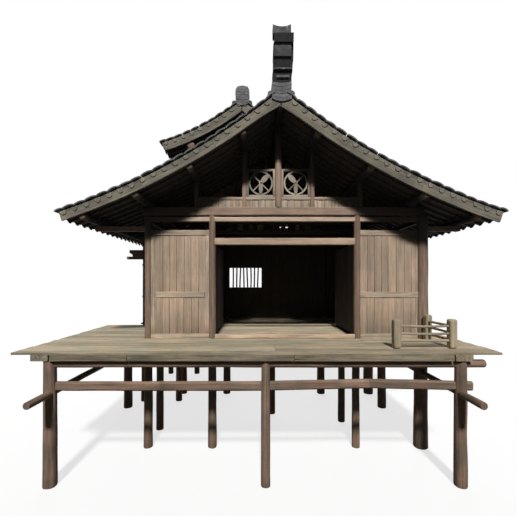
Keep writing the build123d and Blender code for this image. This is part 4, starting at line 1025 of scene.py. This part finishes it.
def fretwork(shape, side):
    """A frame with a ring, its hub and spokes, and two petals between the spokes."""
    low, high = sorted((RIDGE_X + side * .075, RIDGE_X + side * .768))
    z = (SILL_TOP, SILL_TOP + .681)
    through = around(FRONT, .034)
    for x in ((low, low + .055), (high - .055, high)):
        timber(shape, x, through, z, "z", chamfer=.004)
    for level in ((z[0], z[0] + .055), (z[1] - .055, z[1])):
        timber(shape, between(low, high, .05), through, level, "x", chamfer=.004)
    centre = Vector(((low + high) / 2, FRONT, (z[0] + z[1]) / 2))
    hoop(shape, centre, .29, .036, .015)
    for i in range(4):
        arm = arm_at(pi / 4 + pi / 2 * i)
        member(shape, centre + arm * .03, centre + arm * .262, rect(.026, .032, .004), up=Y_AXIS,
               step=.2, ends=SQUARE_END)
    hoop(shape, centre, .05, .03, .02, count=16)
    for turn, half in ((-pi / 2, .05), (pi / 2 + side * .75, .065)):
        out = arm_at(turn)
        edge = [(half * (j / 5 - 1), .125 * droop(j / 5 - 1, 1, .5)) for j in range(11)]
        plate(shape, centre + out * .14 - Y_AXIS * .014, out.cross(Y_AXIS), out, -Y_AXIS,
              [(a, -b) for a, b in edge], edge, thick=.02)


for side in (-1, 1):
    fretwork(shape, side)
shape.dress("gable_fretwork", "carved", FRET_WOOD)


def roof_height(slopes, drop, places):
    """Lowest height of a roof over some places across the house, less a drop."""
    heights = []
    for x in places:
        slope = slopes[0] if x < slopes[0].ridge_x else slopes[1]
        heights.append(slope.at(slope.station(abs(x - slope.ridge_x)), 0).z - drop)
    return min(heights)


# The rear gable's planks. Those over a vent are as wide as it is, and in two lengths.
VENTS = [(RIDGE_X + across - width / 2, RIDGE_X + across + width / 2)
         for across, width in ((.32, .042), (.415, .082), (.552, .088))]
marks = [edge for vent in VENTS for edge in vent]
columns = split(LEFT + .02, marks[0], .19, .1) + list(zip(marks[:-1], marks[1:]))
columns += split(marks[-1], RIDGE_X + 3.12, .19, .1)
for index, (low, high) in enumerate(columns):
    top = roof_height(MAIN, .192, (low, high))
    lengths = [(TIE_TOP, top)]
    if (low, high) in VENTS:
        lengths = [(TIE_TOP, TIE_TOP + .158), (TIE_TOP + .198, top)]
    for z in lengths:
        timber(shape, (low - .003, high + .003), around(REAR + .006 * (-1) ** index, .028), z, "z",
               chamfer=.003)
shape.dress("rear_gable", "planks", SHED_WOOD)

# ---- upper storey
for y, inside in ((UPPER_Y[0] + .025, 1), (UPPER_Y[1] - .025, -1)):
    planks(shape, UPPER_X, y, lambda *x: (roof_height(MAIN, .09, x) - .06, roof_height(UPPER, .252, x)),
           width=.2, inside=inside)
for x, inside in ((UPPER_X[0] + .025, 1), (UPPER_X[1] - .025, -1)):
    span = (roof_height(MAIN, .09, [x]) - .12, under(UPPER_L, UPPER_PURLIN, UPPER_PURLIN_R)[1])
    planks(shape, between(*UPPER_Y, .03), x, span, facing="x", inside=inside)
shape.dress("upper_walls", "planks", SHED_WOOD)


# ---- ridges
def smile(half, sag):
    """Nine points of a curve that hangs between two ends, as (across, height)."""
    places = [2 * i / 8 - 1 for i in range(9)]
    return [(half * t, sag * (t ** 2 - 1)) for t in places]


def ridge_end(shape, x, z, half, layers, height, y, dome=False):
    """A stack of curved tiles with their hollow sides up, at the end of a ridge."""
    for i in range(layers):
        rounded = dome and i == layers - 1
        wide = half * RNG.uniform(.97, 1.02)
        if rounded:
            wide = half * .86
        shift = wobble(.006)
        bottom = smile(wide, .06 - .006 * i)
        top = [(a * .985, b + height - .004) for a, b in bottom]
        if rounded:
            top = [(a * .93, height + .015 - .05 * (a / half) ** 2) for a, b in bottom]
        outline = bottom + top[::-1]
        seed = random_point()
        ends = (y[0] + RNG.uniform(0, .008), y[1])
        turned = outline[::1 if y[1] > y[0] else -1]
        shape.loft([[(Vector((x + shift + p, at, z + i * height + q)), (a, at, b))
                     for (p, q), (a, b) in zip(turned, outline)] for at in ends], seed, RNG.random())


def flank_tiles(shape, slopes, y):
    """Short covers that lean against both sides of a ridge end."""
    towards = 1 if y[1] > y[0] else -1
    for slope in slopes:
        for s, w in ((.29, -.005), (.25, .05)):
            tile(shape, slope.at(s, y[0] + towards * .01, w), Y_AXIS * towards, slope.normal(s),
                 abs(y[1] - y[0]) - .01, .13, .05, hollow=0, thick=.016)


def ridge_bank(shape, slopes, y):
    """Courses of flat tiles astride the ridge, covers on top, and broad tiles that close it below."""
    x, top = slopes[0].ridge_x, slopes[0].ridge_z
    for level in range(3):
        z = top - .075 + level * .045
        wide = .15 * (1 - .07 * level)
        for low, high in split(y[0], y[1], .3, .15):
            push = wobble(.006)
            timber(shape, (x - wide + push, x + wide + push), between(low, high, .002), (z, z + .038), "y",
                   chamfer=.006)
    for low, high in split(y[0], y[1], .24, .08):
        tile(shape, Vector((x, low - .02, top + .045)), Y_AXIS, UP, high - low + .04, .22, .05,
             jitter=.006)
    for slope in slopes:
        for low, high in split(y[0], y[1], .28, .1):
            curve_slab(shape, slope, (0, .24), between(low, high, .002), (-.03, .012), 2, tone=RNG.random())


RIDGE_END = .24          # length of the stacks at the ends of a ridge
for node, slopes, banks, (x, z), (half, layers, height), dome in (
        ("main_ridge", MAIN, ((ROOF_Y[0] + RIDGE_END, UPPER_Y[0]), (UPPER_Y[1], ROOF_Y[1] - RIDGE_END)),
         (RIDGE_X + .012, RIDGE_Z - .225), (.213, 5, .074), False),
        ("upper_ridge", UPPER, (between(*UPPER_R.y, RIDGE_END),),
         (UPPER_R.ridge_x + .01, UPPER_R.ridge_z - .12), (.198, 7, .068), True)):
    for run in banks:
        ridge_bank(shape, slopes, run)
    y0, y1 = slopes[1].y
    for run in ((y0 - .012, y0 + RIDGE_END), (y1 + .012, y1 - RIDGE_END)):
        ridge_end(shape, x, z, half, layers, height, run, dome)
        flank_tiles(shape, slopes, run)
    shape.dress(node, "tiles", RIDGE_CLAY, angle=30)


# Pieces of a finial: low and high x from the ridge line, low and high z, depth in front, lean, hollow.
# The first table's pieces are near-black: painted shade under the stacked tiles.
SHADED_FINIAL_PIECES = (((-.175, .235), (.36, .60), 0, 0, 0), ((-.165, .255), (.60, .885), .01, .005, 0),
         ((-.15, .275), (.84, 1.18), -.03, 0, 0), ((-.145, .272), (1.16, 1.355), .035, .004, 0),
         ((-.17, -.13), (.88, 1.17), .02, .012, 0))
PALE = (((-.09, .185), (.455, .505), .024, 0, .004), ((-.16, .235), (.62, .645), .03, 0, -.012),
        ((-.135, .225), (.885, 1.185), .024, 0, 0), ((-.175, .215), (1.35, 1.545), 0, 0, .045))
FINIAL_BASE = box("finials").z[0] - .27


def slab(shape, x, y, z, lean, sag):
    """An uneven upright piece of a finial, its top hollowed by sag."""
    half, mid = (x[1] - x[0]) / 2, (x[0] + x[1]) / 2
    top = [(a + lean, z[1] - z[0] + b) for a, b in smile(half, sag)]
    outline = smile(half, 0) + top[::-1]
    seed = random_point()
    shape.loft([[(Vector((mid + a + wobble(.003), at, z[0] + b)), (a, at, b)) for a, b in outline]
                for at in y], seed, RNG.random())


painted_shade_stack, pale = Shape(), Shape()
for y, towards in ((ROOF_Y[0], 1), (ROOF_Y[1], -1)):
    for stack, pieces in ((painted_shade_stack, SHADED_FINIAL_PIECES), (pale, PALE)):
        for x, z, proud, lean, sag in pieces:
            near = y + towards * (.13 - .10 * (z[0] - .36) - proud)
            far = near + towards * (.2 + proud)
            slab(stack, (RIDGE_X + x[0], RIDGE_X + x[1]), sorted((near, far)),
                 (FINIAL_BASE + z[0], FINIAL_BASE + z[1]), lean, sag)
# the near-black pieces, painted shade
painted_shade_stack.dress("finials", "painted_shade_stack", PAINTED_SHADE_CLAY, angle=30)
pale.make("finials_pale", FINIAL_CLAY, "ridge_tiles", angle=30)

# ---- nodes of the frame that stay
# Rafters, upper posts and door sockets get the near-black woods of painted shade.
for name, material in (("rafters", PAINTED_SHADE_WOOD_X), ("upper_posts", PAINTED_SHADE_WOOD_Z), ("door_sockets", PAINTED_SHADE_WOOD_Z),
                       ("eave_brackets", BRACKET_WOOD), ("annex_beams", BRACKET_WOOD)):
    NODES[name].data.materials.clear()
    NODES[name].data.materials.append(material)

# ---- stage
scene = bpy.context.scene
scene.view_settings.view_transform = "Standard"


def seen_directly(graph):
    """1 for rays that the camera sees directly or through gloss and glass."""
    path = graph.node("LightPath").outputs
    total = path["Is Camera Ray"]
    for name in ("Is Glossy Ray", "Is Transmission Ray"):
        total = graph.value("Math", total, path[name], operation="MAXIMUM")
    return total


scene.world = bpy.data.worlds.new("studio")
graph = Graph(scene.world)
dim, white = graph.value("Background", (.93, .96, 1, 1), .03), graph.value("Background", (1, 1, 1, 1))
graph.node("OutputWorld", graph.value("MixShader", seen_directly(graph), dim, white))

# A pale floor that keeps the shadow near the house and turns white far from it.
material = bpy.data.materials.new("studio_floor")
graph = Graph(material)
seen, other = [graph.value("BsdfDiffuse", colour) for colour in ((.86, .86, .85, 1), (.05, .05, .05, 1))]
place = graph.node("TexCoord").outputs["Object"]
away = graph.node("VectorMath", place, operation="LENGTH").outputs["Value"]
fade = graph.value("MapRange", away, 7, 17, .72, 1)
soft = graph.value("MixShader", fade, seen, graph.value("Emission"))
graph.node("OutputMaterial", graph.value("MixShader", seen_directly(graph), other, soft))

mesh = bpy.data.meshes.new("floor")
size = 90
mesh.from_pydata([(-size, -size, 0), (size, -size, 0), (size, size, 0), (-size, size, 0)], [], [(0, 1, 2, 3)])
mesh.materials.append(material)
floor = bpy.data.objects.new("floor", mesh)
floor.location = (0, 2, -.001)
bpy.context.collection.objects.link(floor)


def sunlight(name, energy, angle, elevation, heading):
    """A distant lamp. Its light travels at a heading clockwise from +Y."""
    sun = bpy.data.lights.new(name, "SUN")
    sun.energy, sun.angle = energy, radians(angle)
    lamp = bpy.data.objects.new(name, sun)
    rise, turn = radians(elevation), radians(heading)
    ray = Vector((cos(rise) * sin(turn), cos(rise) * cos(turn), -sin(rise)))
    lamp.rotation_mode = "QUATERNION"
    lamp.rotation_quaternion = ray.to_track_quat("-Z", "Y")
    bpy.context.collection.objects.link(lamp)


sunlight("key", 3.9, 5, 47.5, 0)
sunlight("fill_left", .7, 40, 30, 162)
sunlight("fill_right", .7, 40, 30, -162)

camera = bpy.data.cameras.new("camera")
camera.sensor_width = 36
camera.lens = 21.4186
camera.shift_x, camera.shift_y = .002, .0485
eye = bpy.data.objects.new("camera", camera)
eye.location = (-.17, -6, 3.955)
eye.rotation_euler = (pi / 2, 0, 0)
bpy.context.collection.objects.link(eye)
scene.camera = eye
